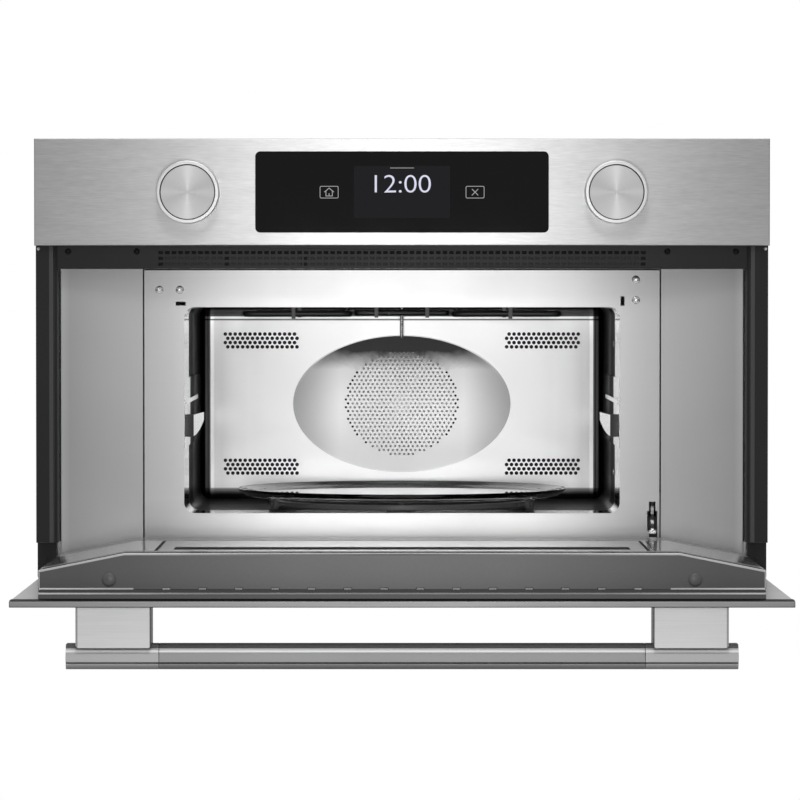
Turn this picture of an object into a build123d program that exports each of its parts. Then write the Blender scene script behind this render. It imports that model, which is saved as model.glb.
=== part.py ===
from build123d import *
import math
import os

# Built-in microwave oven with a drop-down door, modelled with the door open.
# Millimetres. X runs left to right, Y from the front to the back and Z up.
# The origin is the centre of the base plate's underside.
# "Depth" is always measured behind the face of the control panel.

# Overall sizes
front_width = 755.65
front_height = 452.0
base_length = 530.0
base_setback = 14.0
chassis_width = 716.0
chassis_height = 438.0
wrapper_sheet = 1.0
base_sheet = 1.5
base_flange = 12.0

# Fits between neighbouring pieces
seat_gap = 0.3
close_gap = 0.2
running_gap = 0.05

# Control panel, display and knobs
panel_height = 110.0
panel_sheet = 1.2
panel_edge_radius = 1.2
glass_width = 301.0
glass_height = 83.0
glass_corner = 5.0
glass_proud = 0.5
glass_thickness = 3.0
housing_margin = 6.0
housing_ledge = 6.0
housing_back = 2.0
board_sheet = 1.6
board_behind = 12.0
screen_width = 104.0
screen_height = 59.0
knob_offset = 219.2
knob_drop = 0.6
knob_radius = 32.0
knob_rim = 3.6
knob_bevel_depth = 3.0
knob_proud = 25.0
knob_clearance = 1.0
knob_wall = 3.0
knob_face_drop = 0.8
hub_radius = 6.5
shaft_radius = 3.0
shaft_tail = 9.0
bush_radius = 4.6
bush_proud = 0.7
encoder_size = 24.0
encoder_depth = 14.0

# Mounting flange, frame posts and recess
flange_inset = 1.0
flange_front = 26.0
flange_sheet = 1.5
flange_drop = 4.0
flange_bar = 12.0
cabinet_hole_radius = 2.25
cabinet_hole_inset = 10.0
cabinet_hole_z = 18.0
recess_width = 710.0
post_front = 8.5
post_bottom = 36.0
post_face_width = 13.8
post_chamfer_width = 4.3
post_chamfer_depth = 1.0
post_step_depth = 16.0
post_lip_end = 37.0
post_lip_wall = 1.7
vent_height = 23.6
vent_depth = 9.5
vent_sheet = 1.2
slot_count = 74
slot_rows = 3
slot_pitch = 6.8
slot_row_pitch = 5.93
slot_width = 4.8
slot_tall = 3.2
slot_row_drop = 13.0
baffle_gap = 2.0
baffle_sheet = 1.0
baffle_joint_left = 180.5
baffle_joint_right = 101.0
baffle_joint_width = 6.0
grille_screw_inner = 273.0
grille_screw_outer = 343.5
grille_screw_drop = 6.0
grille_screw_head = 2.9
grille_screw_length = 6.0
post_screw_inset = 2.9
post_screw_drop = 3.2
post_screw_head = 1.7
screw_shank_radius = 1.4
screw_head_height = 1.3
screw_dome = 0.9
liner_sheet = 1.0
liner_edge_gap = 1.85
liner_outer_depth = 38.0
liner_inner_width = 538.6
liner_return = 12.0
sill_width = 644.0
sill_top = 20.8
sill_sheet = 1.2
sill_foot = 12.0

# Cavity
plate_depth = 54.2
plate_sheet = 1.2
plate_width = 535.4
opening_width = 453.0
opening_height = 214.2
opening_bottom = 64.4
opening_corner = 11.0
cavity_width = 455.5
cavity_height = 219.5
cavity_floor = 61.0
cavity_length = 399.8
cavity_corner = 12.0
cavity_sheet = 1.0
back_bend = 11.5
back_rim = 14.0
plate_screw_head = 4.35
plate_screw_left_outer = 251.9
plate_screw_left_inner = 230.8
plate_screw_left_z = 296.7
plate_screw_right = 243.0
plate_screw_right_high = 307.2
plate_screw_right_low = 286.1
level_slot_width = 10.2
level_slot_height = 4.0
level_slot_x = -230.0
level_slot_z = 282.3
plumb_slot_width = 4.0
plumb_slot_height = 9.9
plumb_slot_x = 229.2
plumb_slot_z = 285.0
dish_width = 245.5
dish_height = 155.2
dish_depth = 11.5
dish_sheet = 1.0
dish_lip = 5.0
dish_centre_z = 168.6
dish_zone_width = 129.0
dish_zone_height = 117.0
dish_hole_radius = 1.3
dish_pitch = 5.06
vent_hole_radius = 2.05
vent_hole_pitch = 5.58
vent_hole_row_pitch = 4.82
vent_columns = 15
vent_rows = 4
vent_group_x = 158.8
vent_group_z = 71.3
support_bottom = 132.0
support_top = 204.0
support_front = 62.0
support_back = 430.0
support_sheet = 1.5
ledge_top = 165.3
ledge_bottom = 143.0
ledge_back_drop = 3.8
ledge_back_height = 8.5
ledge_sag = 1.5
ledge_front = 100.0
ledge_back = 360.0
ledge_proud = 7.0
rib_z = 180.0
rib_height = 4.5
rib_back = 330.0
rib_proud = 2.0
wall_screw_depth = 203.0
wall_screw_high = 239.1
wall_screw_low = 101.2
wall_screw_head = 4.2
heater_radius = 3.25
heater_drop = 9.0
heater_bend = 8.0
heater_half_width = 165.0
heater_front = 110.0
heater_middle = 340.0
heater_back = 390.0
heater_inner_x = 55.0
heater_terminal_x = 60.0
heater_terminal_top = 300.0
terminal_hole_radius = 5.0
clip_width = 4.0
clip_length = 11.0
clip_wall = 2.0
clip_outer_x = 114.0
clip_inner_x = 28.0
rod_radius = 1.9
rod_length = 38.0
rod_depth = 430.0
rod_tip = 1.1
rod_flange_radius = 5.0
rod_flange_height = 2.0
lamp_x = -150.0
lamp_depth = 230.0
lamp_radius = 16.0
lamp_lens_height = 3.0
lamp_housing_radius = 20.0
lamp_housing_height = 34.0
lamp_wall = 2.0

# Turntable
table_depth = 255.0
tray_radius = 178.0
tray_thickness = 5.0
tray_rim_rise = 9.0
tray_flat_radius = 164.0
lug_size = 6.0
lug_circle = 14.0
roller_radius = 6.0
roller_width = 5.0
roller_edge_radius = 0.8
roller_circle = 157.0
axle_radius = 1.5
axle_head_radius = 2.6
axle_head_height = 1.5
ring_inner_radius = 132.0
ring_outer_radius = 144.0
ring_height = 4.6
coupler_radius = 9.0
lobe_radius = 17.0
lobe_width = 6.0
coupler_height = 8.0
coupler_shaft_radius = 3.5
coupler_hole_radius = 8.0
table_motor_radius = 24.0
table_motor_height = 17.0
table_motor_bore_depth = 10.0
motor_ear = 9.0
motor_ear_sheet = 2.0
support_rail_x = 150.0
support_rail_width = 30.0
support_rail_front = 80.0
support_rail_back = 430.0

# Fan chamber behind the cavity
chamber_width = 412.0
chamber_height = 169.0
chamber_depth = 44.0
chamber_sheet = 1.0
chamber_lip = 8.0
fan_radius = 60.0
fan_blades = 6
fan_blade_sheet = 1.5
fan_blade_height = 18.0
fan_blade_inner = 12.0
fan_back_clear = 6.0
fan_shaft_radius = 4.0
shaft_hole_radius = 6.0
ring_heater_radius = 74.0
ring_tube_radius = 3.2
ring_heater_setback = 16.0
ring_lead_angle = 35.0
ring_lead_tail = 10.0
ring_collar_radius = 8.0
ring_collar_height = 2.0
fan_motor_radius = 34.0
fan_motor_length = 36.0
fan_plate_sheet = 2.0
fan_plate_ear = 12.0
fan_plate_inset = 14.0

# Microwave source and cooling, above the cavity
deck_z = 330.0
deck_sheet = 1.2
deck_front = 58.0
deck_flange = 12.0
guide_width = 90.0
guide_front = 170.0
guide_back = 340.0
guide_sheet = 1.5
guide_port_width = 76.0
guide_port_length = 70.0
guide_port_inset = 8.0
mica_thickness = 0.6
mica_margin = 8.0
magnetron_depth = 300.0
antenna_radius = 9.0
antenna_gap = 3.0
antenna_reach = 16.0
yoke_end = 3.0
yoke_side = 2.0
magnetron_base_width = 84.0
magnetron_base_length = 96.0
magnetron_height = 74.0
magnetron_core_radius = 19.0
fin_width = 66.0
fin_length = 58.0
fin_count = 7
fin_sheet = 1.2
fin_pitch = 7.0
inverter_x = -255.0
inverter_depth = 190.0
inverter_width = 130.0
inverter_length = 170.0
inverter_post = 10.0
inverter_edge = 10.0
core_width = 31.0
core_length = 78.0
core_height = 38.0
coil_width = 55.0
coil_length = 60.0
coil_height = 46.0
sink_width = 42.5
sink_fin = 2.5
sink_fins = 6
sink_base = 4.0
sink_height = 34.0
capacitor_count = 3
capacitor_radius = 9.0
capacitor_pitch = 21.0
capacitor_height = 30.0
post_inset = 6.0
post_radius = 3.5
blower_x = 240.0
blower_depth = 440.0
blower_radius = 72.0
blower_height = 52.0
blower_sheet = 1.2
blower_outlet_width = 74.0
blower_outlet_front = 330.0
blower_inlet_radius = 44.0
wheel_radius = 62.0
wheel_inner_radius = 50.0
wheel_height = 40.0
wheel_blades = 24
wheel_blade_sheet = 1.4
wheel_disc = 2.0
wheel_lift = 4.0
wheel_shaft_radius = 3.0
blower_motor_radius = 27.0
blower_motor_height = 34.0
blower_motor_lift = 6.0
bracket_leg_width = 10.0
bracket_sheet = 2.0

# Covers
louver_count = 14
louver_pitch = 12.0
louver_width = 4.0
louver_length = 120.0
louver_z = 250.0
louver_x = 175.0
top_slot_count = 12
top_slot_pitch = 14.0
top_slot_length = 90.0
top_slot_width = 4.0
top_slot_x = 120.0
top_slot_back = 484.0
gland_x = -290.0
gland_z = 385.0
gland_hole_radius = 11.1
gland_body_radius = 10.9
gland_bore_radius = 6.5
gland_flange_radius = 16.0
gland_flange_height = 3.0
gland_length = 24.0

# Door, in its open position
hinge_depth = 20.7
hinge_z = 11.9
skin_thickness = 6.2
door_gap = 2.9
skin_below_hinge = 8.0
skin_edge_radius = 0.8
window_width = 560.0
window_near = 252.0
window_far = 52.0
window_thickness = 5.0
window_ledge = 4.0
body_width = 702.8
body_flat_width = 536.8
body_rise = 44.85
body_side_rise = 28.2
body_near_inset = 23.5
body_far_gap = 22.7
carrier_height = 6.3
carrier_inner_width = 580.0
carrier_border = 40.0
seam_height = 3.2
seam_setback = 2.0
cover_wall = 2.0
cover_slot_count = 14
cover_slot_pitch = 35.03
cover_slot_width = 7.6
cover_slot_height = 1.8
inner_glass_width = 480.6
inner_glass_near = 239.6
inner_glass_far = 62.4
inner_glass_thickness = 4.0
inner_glass_gap = 0.5
glass_rib = 8.0
mesh_sheet = 0.6
mesh_margin = 14.0
bumper_x = 283.0
bumper_rise = 19.3
bumper_radius = 6.75
bumper_height = 2.2
bumper_dome = 2.0
arm_x = 339.0
arm_width = 6.0
arm_near = 90.0
arm_top_rise = 11.0
arm_notch_gap = 1.0
eye_radius = 8.0
pin_radius = 4.0
cheek_radius = 9.0
cheek_sheet = 3.0
cheek_inner_gap = 4.0
bracket_back = 70.0
bracket_top = 19.0
bracket_base = 2.0

# Door handle
handle_standoff = 38.0
handle_bar_height = 24.3
handle_bar_depth = 27.0
handle_bar_length = 651.5
handle_end_length = 90.4
handle_bracket_width = 72.9
handle_bracket_x = 279.25
handle_bracket_depth = 38.0
handle_bracket_lap = 3.0
handle_bracket_radius = 3.0
handle_inset = 45.5

# Interlock lever behind the cavity plate
slot_left = 255.1
slot_right = 265.6
slot_narrow = 1.9
slot_bottom = 35.5
slot_lower = 45.9
slot_upper = 66.5
slot_top = 76.3
lever_x = 260.5
lever_sheet = 3.0
lever_pivot_depth = 66.0
lever_pivot_z = 74.0
lever_boss_radius = 5.0
lever_pin_radius = 2.0
lever_limb_front = 57.0
lever_limb_back = 61.0
lever_limb_bottom = 44.0
hook_width = 6.6
hook_front = 47.0
hook_bottom = 43.5
hook_top = 47.0
holder_sheet = 1.5
holder_back = 96.0
holder_bottom = 32.0
holder_foot = 12.0
holder_gap = 1.2
switch_front = 72.0
switch_back = 92.0
switch_bottom = 36.0
switch_top = 60.0

# Places that follow from the sizes
face_y = -(base_length / 2 + base_setback)
half_front = front_width / 2
half_chassis = chassis_width / 2
half_inside = half_chassis - wrapper_sheet
half_recess = recess_width / 2
panel_bottom = front_height - panel_height
display_z = panel_bottom + panel_height / 2
knob_z = display_z - knob_drop
vent_bottom = panel_bottom - vent_height
chassis_back = base_setback + base_length
cover_back = chassis_back + wrapper_sheet
plate_back = plate_depth + plate_sheet
plate_top = vent_bottom
cavity_ceiling = cavity_floor + cavity_height
cavity_back_depth = plate_back + cavity_length
cavity_half = cavity_width / 2
back_wall_rear = cavity_back_depth + cavity_sheet
chamber_back = back_wall_rear + chamber_depth
skin_outer_z = hinge_z - hinge_depth
skin_inner_z = skin_outer_z + skin_thickness
skin_far = hinge_depth + skin_below_hinge
skin_near = hinge_depth - (panel_bottom - door_gap - hinge_z)
body_near = skin_near + body_near_inset
body_far = hinge_depth - body_far_gap
body_top = skin_inner_z + body_rise
body_side_top = skin_inner_z + body_side_rise
carrier_top = skin_inner_z + carrier_height
cover_bottom = carrier_top + seam_height
handle_depth = skin_near + handle_inset
bar_top = skin_outer_z - handle_standoff
bar_centre_z = bar_top - handle_bar_height / 2
table_y = face_y + table_depth
roller_z = cavity_floor + seat_gap + roller_radius
tray_bottom = roller_z + roller_radius + seat_gap
deck_top = deck_z + deck_sheet


def behind(depth):
    """Y of the plane that lies this far behind the face of the control panel."""
    return face_y + depth


def block(x_range, depths, z_range):
    """Box from X, depth and Z ranges."""
    x0, x1 = x_range
    d0, d1 = depths
    z0, z1 = z_range
    centre = Pos((x0 + x1) / 2, behind((d0 + d1) / 2), (z0 + z1) / 2)
    return centre * Box(x1 - x0, d1 - d0, z1 - z0)


def centred(half_width):
    """X range that is symmetric about the middle of the oven."""
    return (-half_width, half_width)


def front_prism(outline, depths):
    """Solid from an outline in X and Z that runs from one depth to another."""
    d0, d1 = depths
    return extrude(Plane.XZ.offset(-behind(d1)) * outline, amount=d1 - d0, dir=(0, -1, 0))


def plan_prism(outline, z_range):
    """Solid from an outline in X and Y that rises from one height to another."""
    z0, z1 = z_range
    return extrude(Plane.XY.offset(z0) * outline, amount=z1 - z0, dir=(0, 0, 1))


def side_prism(outline, x_range):
    """Solid from an outline in Y and Z that runs between two X planes."""
    x0, x1 = x_range
    return extrude(Plane.YZ.offset(x0) * outline, amount=x1 - x0, dir=(1, 0, 0))


def outline_from(points):
    return Polygon(*points, align=None)


def front_disc(x, z, radius, depths):
    """Cylinder along Y."""
    d0, d1 = depths
    return Pos(x, behind((d0 + d1) / 2), z) * Rot(90, 0, 0) * Cylinder(radius, d1 - d0)


def upright_disc(x, y, radius, z_range):
    """Cylinder along Z."""
    z0, z1 = z_range
    return Pos(x, y, (z0 + z1) / 2) * Cylinder(radius, z1 - z0)


def side_disc(depth, z, radius, x_range):
    """Cylinder along X."""
    x0, x1 = x_range
    return Pos((x0 + x1) / 2, behind(depth), z) * Rot(0, 90, 0) * Cylinder(radius, x1 - x0)


def left_of(shape):
    return mirror(shape, about=Plane.YZ)


def group(*shapes):
    """Separate solids kept side by side in one node."""
    solids = [solid for shape in shapes for solid in shape.solids()]
    return Compound(children=solids)


def pair(shape):
    return group(shape, left_of(shape))


# Control panel, display and knobs


def control_panel():
    """Folded steel pan with a window for the display and a hole for each knob shaft."""
    pan = block(centred(half_front), (0, flange_front), (panel_bottom, front_height))
    front_edges = pan.faces().sort_by(Axis.Y)[0].edges()
    pan = fillet(front_edges, panel_edge_radius)
    pan -= block(
        centred(half_front - panel_sheet),
        (panel_sheet, flange_front),
        (panel_bottom + panel_sheet, front_height - panel_sheet),
    )
    window = RectangleRounded(
        glass_width + 2 * close_gap, glass_height + 2 * close_gap, glass_corner + close_gap
    )
    pan -= front_prism(Pos(0, display_z) * window, (-1, 2 * panel_sheet))
    for x in (-knob_offset, knob_offset):
        pan -= front_disc(x, knob_z, bush_radius + close_gap, (-1, 2 * panel_sheet))
    return pan


def display_glass():
    pane = RectangleRounded(glass_width, glass_height, glass_corner)
    return front_prism(Pos(0, display_z) * pane, (-glass_proud, glass_thickness - glass_proud))


def display_housing():
    """Tray behind the glass, with a ledge that the glass rests on."""
    glass_back = glass_thickness - glass_proud
    board_back = board_behind + board_sheet
    half_width = glass_width / 2 + housing_margin
    half_height = glass_height / 2 + housing_margin
    tray = block(
        centred(half_width),
        (panel_sheet, board_back + housing_back),
        (display_z - half_height, display_z + half_height),
    )
    pocket = RectangleRounded(
        glass_width + 2 * close_gap, glass_height + 2 * close_gap, glass_corner + close_gap
    )
    tray -= front_prism(Pos(0, display_z) * pocket, (panel_sheet, glass_back))
    tray -= block(
        centred(glass_width / 2 - housing_ledge),
        (glass_back, board_back),
        (display_z - glass_height / 2 + housing_ledge, display_z + glass_height / 2 - housing_ledge),
    )
    return tray


def control_board():
    """Circuit board with the screen module on its front."""
    half_width = glass_width / 2 - housing_ledge - close_gap
    half_height = glass_height / 2 - housing_ledge - close_gap
    board = block(
        centred(half_width),
        (board_behind, board_behind + board_sheet),
        (display_z - half_height, display_z + half_height),
    )
    screen = block(
        centred(screen_width / 2),
        (glass_thickness - glass_proud + close_gap, board_behind),
        (display_z - screen_height / 2, display_z + screen_height / 2),
    )
    return board + screen


def encoder(x):
    """Rotary encoder behind the panel, with its threaded bush through the panel."""
    body = block(
        (x - encoder_size / 2, x + encoder_size / 2),
        (panel_sheet, panel_sheet + encoder_depth),
        (knob_z - encoder_size / 2, knob_z + encoder_size / 2),
    )
    bush = front_disc(x, knob_z, bush_radius, (-bush_proud, panel_sheet))
    bore = front_disc(
        x, knob_z, shaft_radius + running_gap, (-bush_proud, shaft_tail + seat_gap)
    )
    return body + bush - bore


def knob(x):
    """Turned knob with a bevelled rim round a recessed face, and its shaft."""
    back = knob_clearance
    rim_inner = knob_radius - knob_rim
    floor = knob_proud - knob_face_drop
    profile = outline_from(
        [
            (0, floor - knob_wall),
            (0, floor),
            (rim_inner, floor),
            (rim_inner, knob_proud),
            (knob_radius - knob_bevel_depth, knob_proud),
            (knob_radius, knob_proud - knob_bevel_depth),
            (knob_radius, back),
            (knob_radius - knob_wall, back),
            (knob_radius - knob_wall, floor - knob_wall),
        ]
    )
    shell = revolve(Plane.XZ * profile, Axis.Z)
    hub = upright_disc(0, 0, hub_radius, (back + bush_proud, floor - knob_wall))
    shaft = upright_disc(0, 0, shaft_radius, (-shaft_tail, floor - knob_wall))
    turned = shell + hub + shaft
    return Pos(x, face_y, knob_z) * Rot(90, 0, 0) * turned


# Mounting flange, frame posts and vent strip


def mounting_flange():
    """Upside-down U of sheet that lies against the cabinet's face, with two screw holes."""
    half_width = half_front - flange_inset
    top = front_height - flange_drop
    depths = (flange_front, flange_front + flange_sheet)
    flange = block(centred(half_width), depths, (0, top))
    flange -= block(centred(half_inside), (0, cover_back), (-1, chassis_height - flange_bar))
    for side in (-1, 1):
        x = side * (half_width - cabinet_hole_inset)
        flange -= front_disc(x, cabinet_hole_z, cabinet_hole_radius, (0, cover_back))
    return flange


def frame_post():
    """Right-hand post beside the door recess, with a stepped inner edge."""
    outer = half_front - flange_inset
    step_x = outer - post_face_width - post_chamfer_width
    points = [
        (outer, post_front),
        (outer - post_face_width, post_front),
        (step_x, post_front + post_chamfer_depth),
        (step_x, post_step_depth),
        (half_recess, post_step_depth),
        (half_recess, post_lip_end),
        (half_recess + post_lip_wall, post_lip_end),
        (half_recess + post_lip_wall, flange_front),
        (outer, flange_front),
    ]
    outline = outline_from([(x, behind(depth)) for x, depth in points])
    return plan_prism(outline, (post_bottom, panel_bottom))


def vent_grille():
    """Strip under the control panel with rows of slots and a flange along its bottom."""
    half_width = half_recess - seat_gap
    depths = (vent_depth, vent_depth + vent_sheet)
    strip = block(centred(half_width), depths, (vent_bottom, panel_bottom))
    first_x = -slot_pitch * (slot_count - 1) / 2
    slots = []
    for row in range(slot_rows):
        z = panel_bottom - slot_row_drop + (1 - row) * slot_row_pitch
        for column in range(slot_count):
            x = first_x + column * slot_pitch
            x_range = (x - slot_width / 2, x + slot_width / 2)
            z_range = (z - slot_tall / 2, z + slot_tall / 2)
            slots.append(block(x_range, (vent_depth - 1, vent_depth + 2 * vent_sheet), z_range))
    strip -= slots
    for x in grille_screw_places():
        z = panel_bottom - grille_screw_drop
        strip -= front_disc(x, z, screw_shank_radius + close_gap, (0, vent_depth + 2))
    ceiling = block(
        centred(half_width),
        (vent_depth, plate_back),
        (vent_bottom, vent_bottom + vent_sheet),
    )
    return strip + ceiling


def grille_screw_places():
    return [-grille_screw_outer, -grille_screw_inner, grille_screw_inner, grille_screw_outer]


def vent_baffle():
    """Plates behind the slots, with open joints between them."""
    half_width = slot_pitch * slot_count / 2 - slot_pitch
    front = vent_depth + vent_sheet + baffle_gap
    z_range = (vent_bottom + vent_sheet, panel_bottom - seat_gap)
    joints = [-baffle_joint_left, -baffle_joint_right]
    edges = [-half_width]
    for joint in joints:
        edges += [joint - baffle_joint_width / 2, joint + baffle_joint_width / 2]
    edges.append(half_width)
    plates = []
    for start, end in zip(edges[0::2], edges[1::2]):
        plates.append(block((start, end), (front, front + baffle_sheet), z_range))
    return group(*plates)


def front_screw(x, z, head_radius, surface, length):
    """Domed screw whose head lies on a surface that faces the front."""
    head = front_disc(x, z, head_radius, (surface - screw_head_height, surface))
    rim = head.faces().sort_by(Axis.Y)[0].edges()
    head = fillet(rim, screw_dome)
    return head + front_disc(x, z, screw_shank_radius, (surface, surface + length))


def grille_screws():
    z = panel_bottom - grille_screw_drop
    screws = [
        front_screw(x, z, grille_screw_head, vent_depth, grille_screw_length)
        for x in grille_screw_places()
    ]
    post_x = half_front - flange_inset - post_screw_inset
    post_z = panel_bottom - post_screw_drop
    for x in (-post_x, post_x):
        head = front_disc(x, post_z, post_screw_head, (post_front - screw_head_height, post_front))
        screws.append(head)
    return group(*screws)


def side_liner():
    """Right-hand slanted sheet of the recess, with a return that reaches the wrapper."""
    outer = half_recess - liner_edge_gap - liner_sheet
    inner = liner_inner_width / 2
    back = liner_outer_depth + liner_return
    points = [
        (inner, plate_depth),
        (outer, liner_outer_depth),
        (outer + liner_sheet, liner_outer_depth),
        (outer + liner_sheet, back - liner_sheet),
        (half_inside, back - liner_sheet),
        (half_inside, back),
        (outer, back),
        (outer, liner_outer_depth + liner_sheet),
        (inner, plate_depth + liner_sheet),
    ]
    outline = outline_from([(x, behind(depth)) for x, depth in points])
    return plan_prism(outline, (sill_top + seat_gap, vent_bottom - seat_gap))


def sill():
    """Channel along the bottom of the recess, between the hinges."""
    half_width = sill_width / 2
    floor = block(
        centred(half_width), (base_setback, plate_back), (sill_top - sill_sheet, sill_top)
    )
    wall = block(
        centred(half_width),
        (base_setback, base_setback + sill_sheet),
        (base_sheet, sill_top),
    )
    foot = block(
        centred(half_width),
        (base_setback, base_setback + sill_foot),
        (base_sheet, base_sheet + sill_sheet),
    )
    return floor + wall + foot


# Cavity


def opening_outline(extra=0.0):
    centre_z = opening_bottom + opening_height / 2
    shape = RectangleRounded(
        opening_width + 2 * extra, opening_height + 2 * extra, opening_corner + extra
    )
    return Pos(0, centre_z) * shape


def cavity_outline(extra=0.0):
    centre_z = cavity_floor + cavity_height / 2
    shape = RectangleRounded(
        cavity_width + 2 * extra, cavity_height + 2 * extra, cavity_corner + extra
    )
    return Pos(0, centre_z) * shape


def interlock_slot():
    """Stepped slot for the interlock lever."""
    depths = (plate_depth - 1, plate_back + 1)
    narrow = (slot_left + slot_narrow, slot_right - slot_narrow)
    middle = block((slot_left, slot_right), depths, (slot_lower, slot_upper))
    upper = block(narrow, depths, (slot_upper - 1, slot_top))
    lower = block((slot_left + slot_narrow, slot_right), depths, (slot_bottom, slot_lower + 1))
    return middle + upper + lower


def cavity_plate():
    """Front plate of the cavity with its opening, slots and screw holes."""
    depths = (plate_depth, plate_back)
    through = (plate_depth - 1, plate_back + 1)
    plate = block(centred(plate_width / 2), depths, (sill_top, plate_top))
    plate -= front_prism(opening_outline(), through)
    plate -= block(
        (level_slot_x - level_slot_width / 2, level_slot_x + level_slot_width / 2),
        through,
        (level_slot_z - level_slot_height / 2, level_slot_z + level_slot_height / 2),
    )
    plate -= block(
        (plumb_slot_x - plumb_slot_width / 2, plumb_slot_x + plumb_slot_width / 2),
        through,
        (plumb_slot_z - plumb_slot_height / 2, plumb_slot_z + plumb_slot_height / 2),
    )
    plate -= interlock_slot()
    for x, z in plate_screw_places():
        plate -= front_disc(x, z, screw_shank_radius + close_gap, through)
    return plate


def plate_screw_places():
    return [
        (-plate_screw_left_outer, plate_screw_left_z),
        (-plate_screw_left_inner, plate_screw_left_z),
        (plate_screw_right, plate_screw_right_high),
        (plate_screw_right, plate_screw_right_low),
    ]


def wall_screw(z):
    """Screw on the cavity's right wall, its head inside the cavity."""
    head = side_disc(
        wall_screw_depth, z, wall_screw_head, (cavity_half - screw_head_height, cavity_half)
    )
    shank = side_disc(
        wall_screw_depth, z, screw_shank_radius, (cavity_half, cavity_half + 4 * cavity_sheet)
    )
    return head + shank


def cavity_screws():
    screws = [
        front_screw(x, z, plate_screw_head, plate_depth, grille_screw_length)
        for x, z in plate_screw_places()
    ]
    return group(*screws, wall_screw(wall_screw_high), wall_screw(wall_screw_low))


def cavity_liner():
    """Wrapped sheet that forms the cavity's floor, walls and ceiling."""
    depths = (plate_back, cavity_back_depth - back_rim)
    liner = front_prism(cavity_outline(cavity_sheet), depths)
    liner -= front_prism(cavity_outline(), depths)
    through_top = (cavity_ceiling - 1, cavity_ceiling + cavity_sheet + 1)
    through_floor = (cavity_floor - cavity_sheet - 1, cavity_floor + 1)
    half_port = guide_port_width / 2
    port_front = guide_front + guide_port_inset
    liner -= block(centred(half_port), (port_front, port_front + guide_port_length), through_top)
    liner -= upright_disc(lamp_x, behind(lamp_depth), lamp_radius + seat_gap, through_top)
    for x in (-heater_terminal_x, heater_terminal_x):
        liner -= upright_disc(x, behind(heater_back), terminal_hole_radius, through_top)
    liner -= upright_disc(0, behind(rod_depth), rod_radius + seat_gap, through_top)
    liner -= upright_disc(0, table_y, coupler_hole_radius, through_floor)
    through_wall = (cavity_half - 1, cavity_half + cavity_sheet + 1)
    for z in (wall_screw_low, wall_screw_high):
        liner -= side_disc(wall_screw_depth, z, screw_shank_radius + close_gap, through_wall)
    return liner


def vent_hole_places():
    """Staggered holes in four groups, mirrored left to right."""
    places = []
    for level in (-1, 1):
        for row in range(vent_rows):
            height = (row - (vent_rows - 1) / 2) * vent_hole_row_pitch
            z = dish_centre_z + level * vent_group_z + height
            stagger = vent_hole_pitch / 4 * (1 if row % 2 else -1)
            for column in range(vent_columns):
                offset = (column - (vent_columns - 1) / 2) * vent_hole_pitch
                x = vent_group_x + offset + stagger
                places += [(-x, z), (x, z)]
    return places


def cavity_back():
    """Back pan with a rounded rim, four groups of vent holes and an oval hole for the dish."""
    rim = (cavity_back_depth - back_rim, cavity_back_depth)
    outer = front_prism(cavity_outline(cavity_sheet), (rim[0], back_wall_rear))
    back_edges = outer.faces().sort_by(Axis.Y)[-1].edges()
    outer = fillet(back_edges, back_bend + cavity_sheet)
    inner = front_prism(cavity_outline(), rim)
    inner_edges = inner.faces().sort_by(Axis.Y)[-1].edges()
    inner = fillet(inner_edges, back_bend)
    pan = outer - inner
    through = (cavity_back_depth - 1, back_wall_rear + 1)
    oval = Ellipse(dish_width / 2, dish_height / 2)
    pan -= front_prism(Pos(0, dish_centre_z) * oval, through)
    holes = [front_disc(x, z, vent_hole_radius, through) for x, z in vent_hole_places()]
    return pan - holes


def dish_hole_places():
    """Staggered holes inside an oval zone about the middle of the dish."""
    row_pitch = dish_pitch * math.sqrt(3) / 2
    rows = int(dish_zone_height / 2 / row_pitch)
    columns = int(dish_zone_width / 2 / dish_pitch) + 1
    places = []
    for row in range(-rows, rows + 1):
        z = row * row_pitch
        for column in range(-columns, columns + 1):
            x = (column + 0.5 * (row % 2)) * dish_pitch
            across = 2 * x / dish_zone_width
            up = 2 * z / dish_zone_height
            if across**2 + up**2 <= 1:
                places.append((x, z))
    return places


def fan_cover():
    """Shallow oval dish in front of the fan, perforated in the middle, with a lip behind."""
    rim = dish_height / 2 - close_gap
    stretch = (dish_width / 2 - close_gap) / rim
    inner_rim = rim - dish_sheet
    bowl_radius = (inner_rim**2 + dish_depth**2) / (2 * dish_depth)
    centre = Pos(0, dish_depth - bowl_radius, 0)
    outer = centre * Sphere(bowl_radius + dish_sheet)
    outer &= Pos(0, dish_depth, 0) * Rot(90, 0, 0) * Cylinder(rim, 2 * dish_depth)
    lip = Pos(0, cavity_sheet + dish_sheet / 2, 0) * Rot(90, 0, 0)
    outer += lip * Cylinder(rim + dish_lip, dish_sheet)
    bowl = scale(outer - centre * Sphere(bowl_radius), by=(stretch, 1, 1))
    holes = [
        Pos(x, dish_depth, z) * Rot(90, 0, 0) * Cylinder(dish_hole_radius, 4 * dish_depth)
        for x, z in dish_hole_places()
    ]
    return Pos(0, behind(cavity_back_depth), dish_centre_z) * (bowl - holes)


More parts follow.
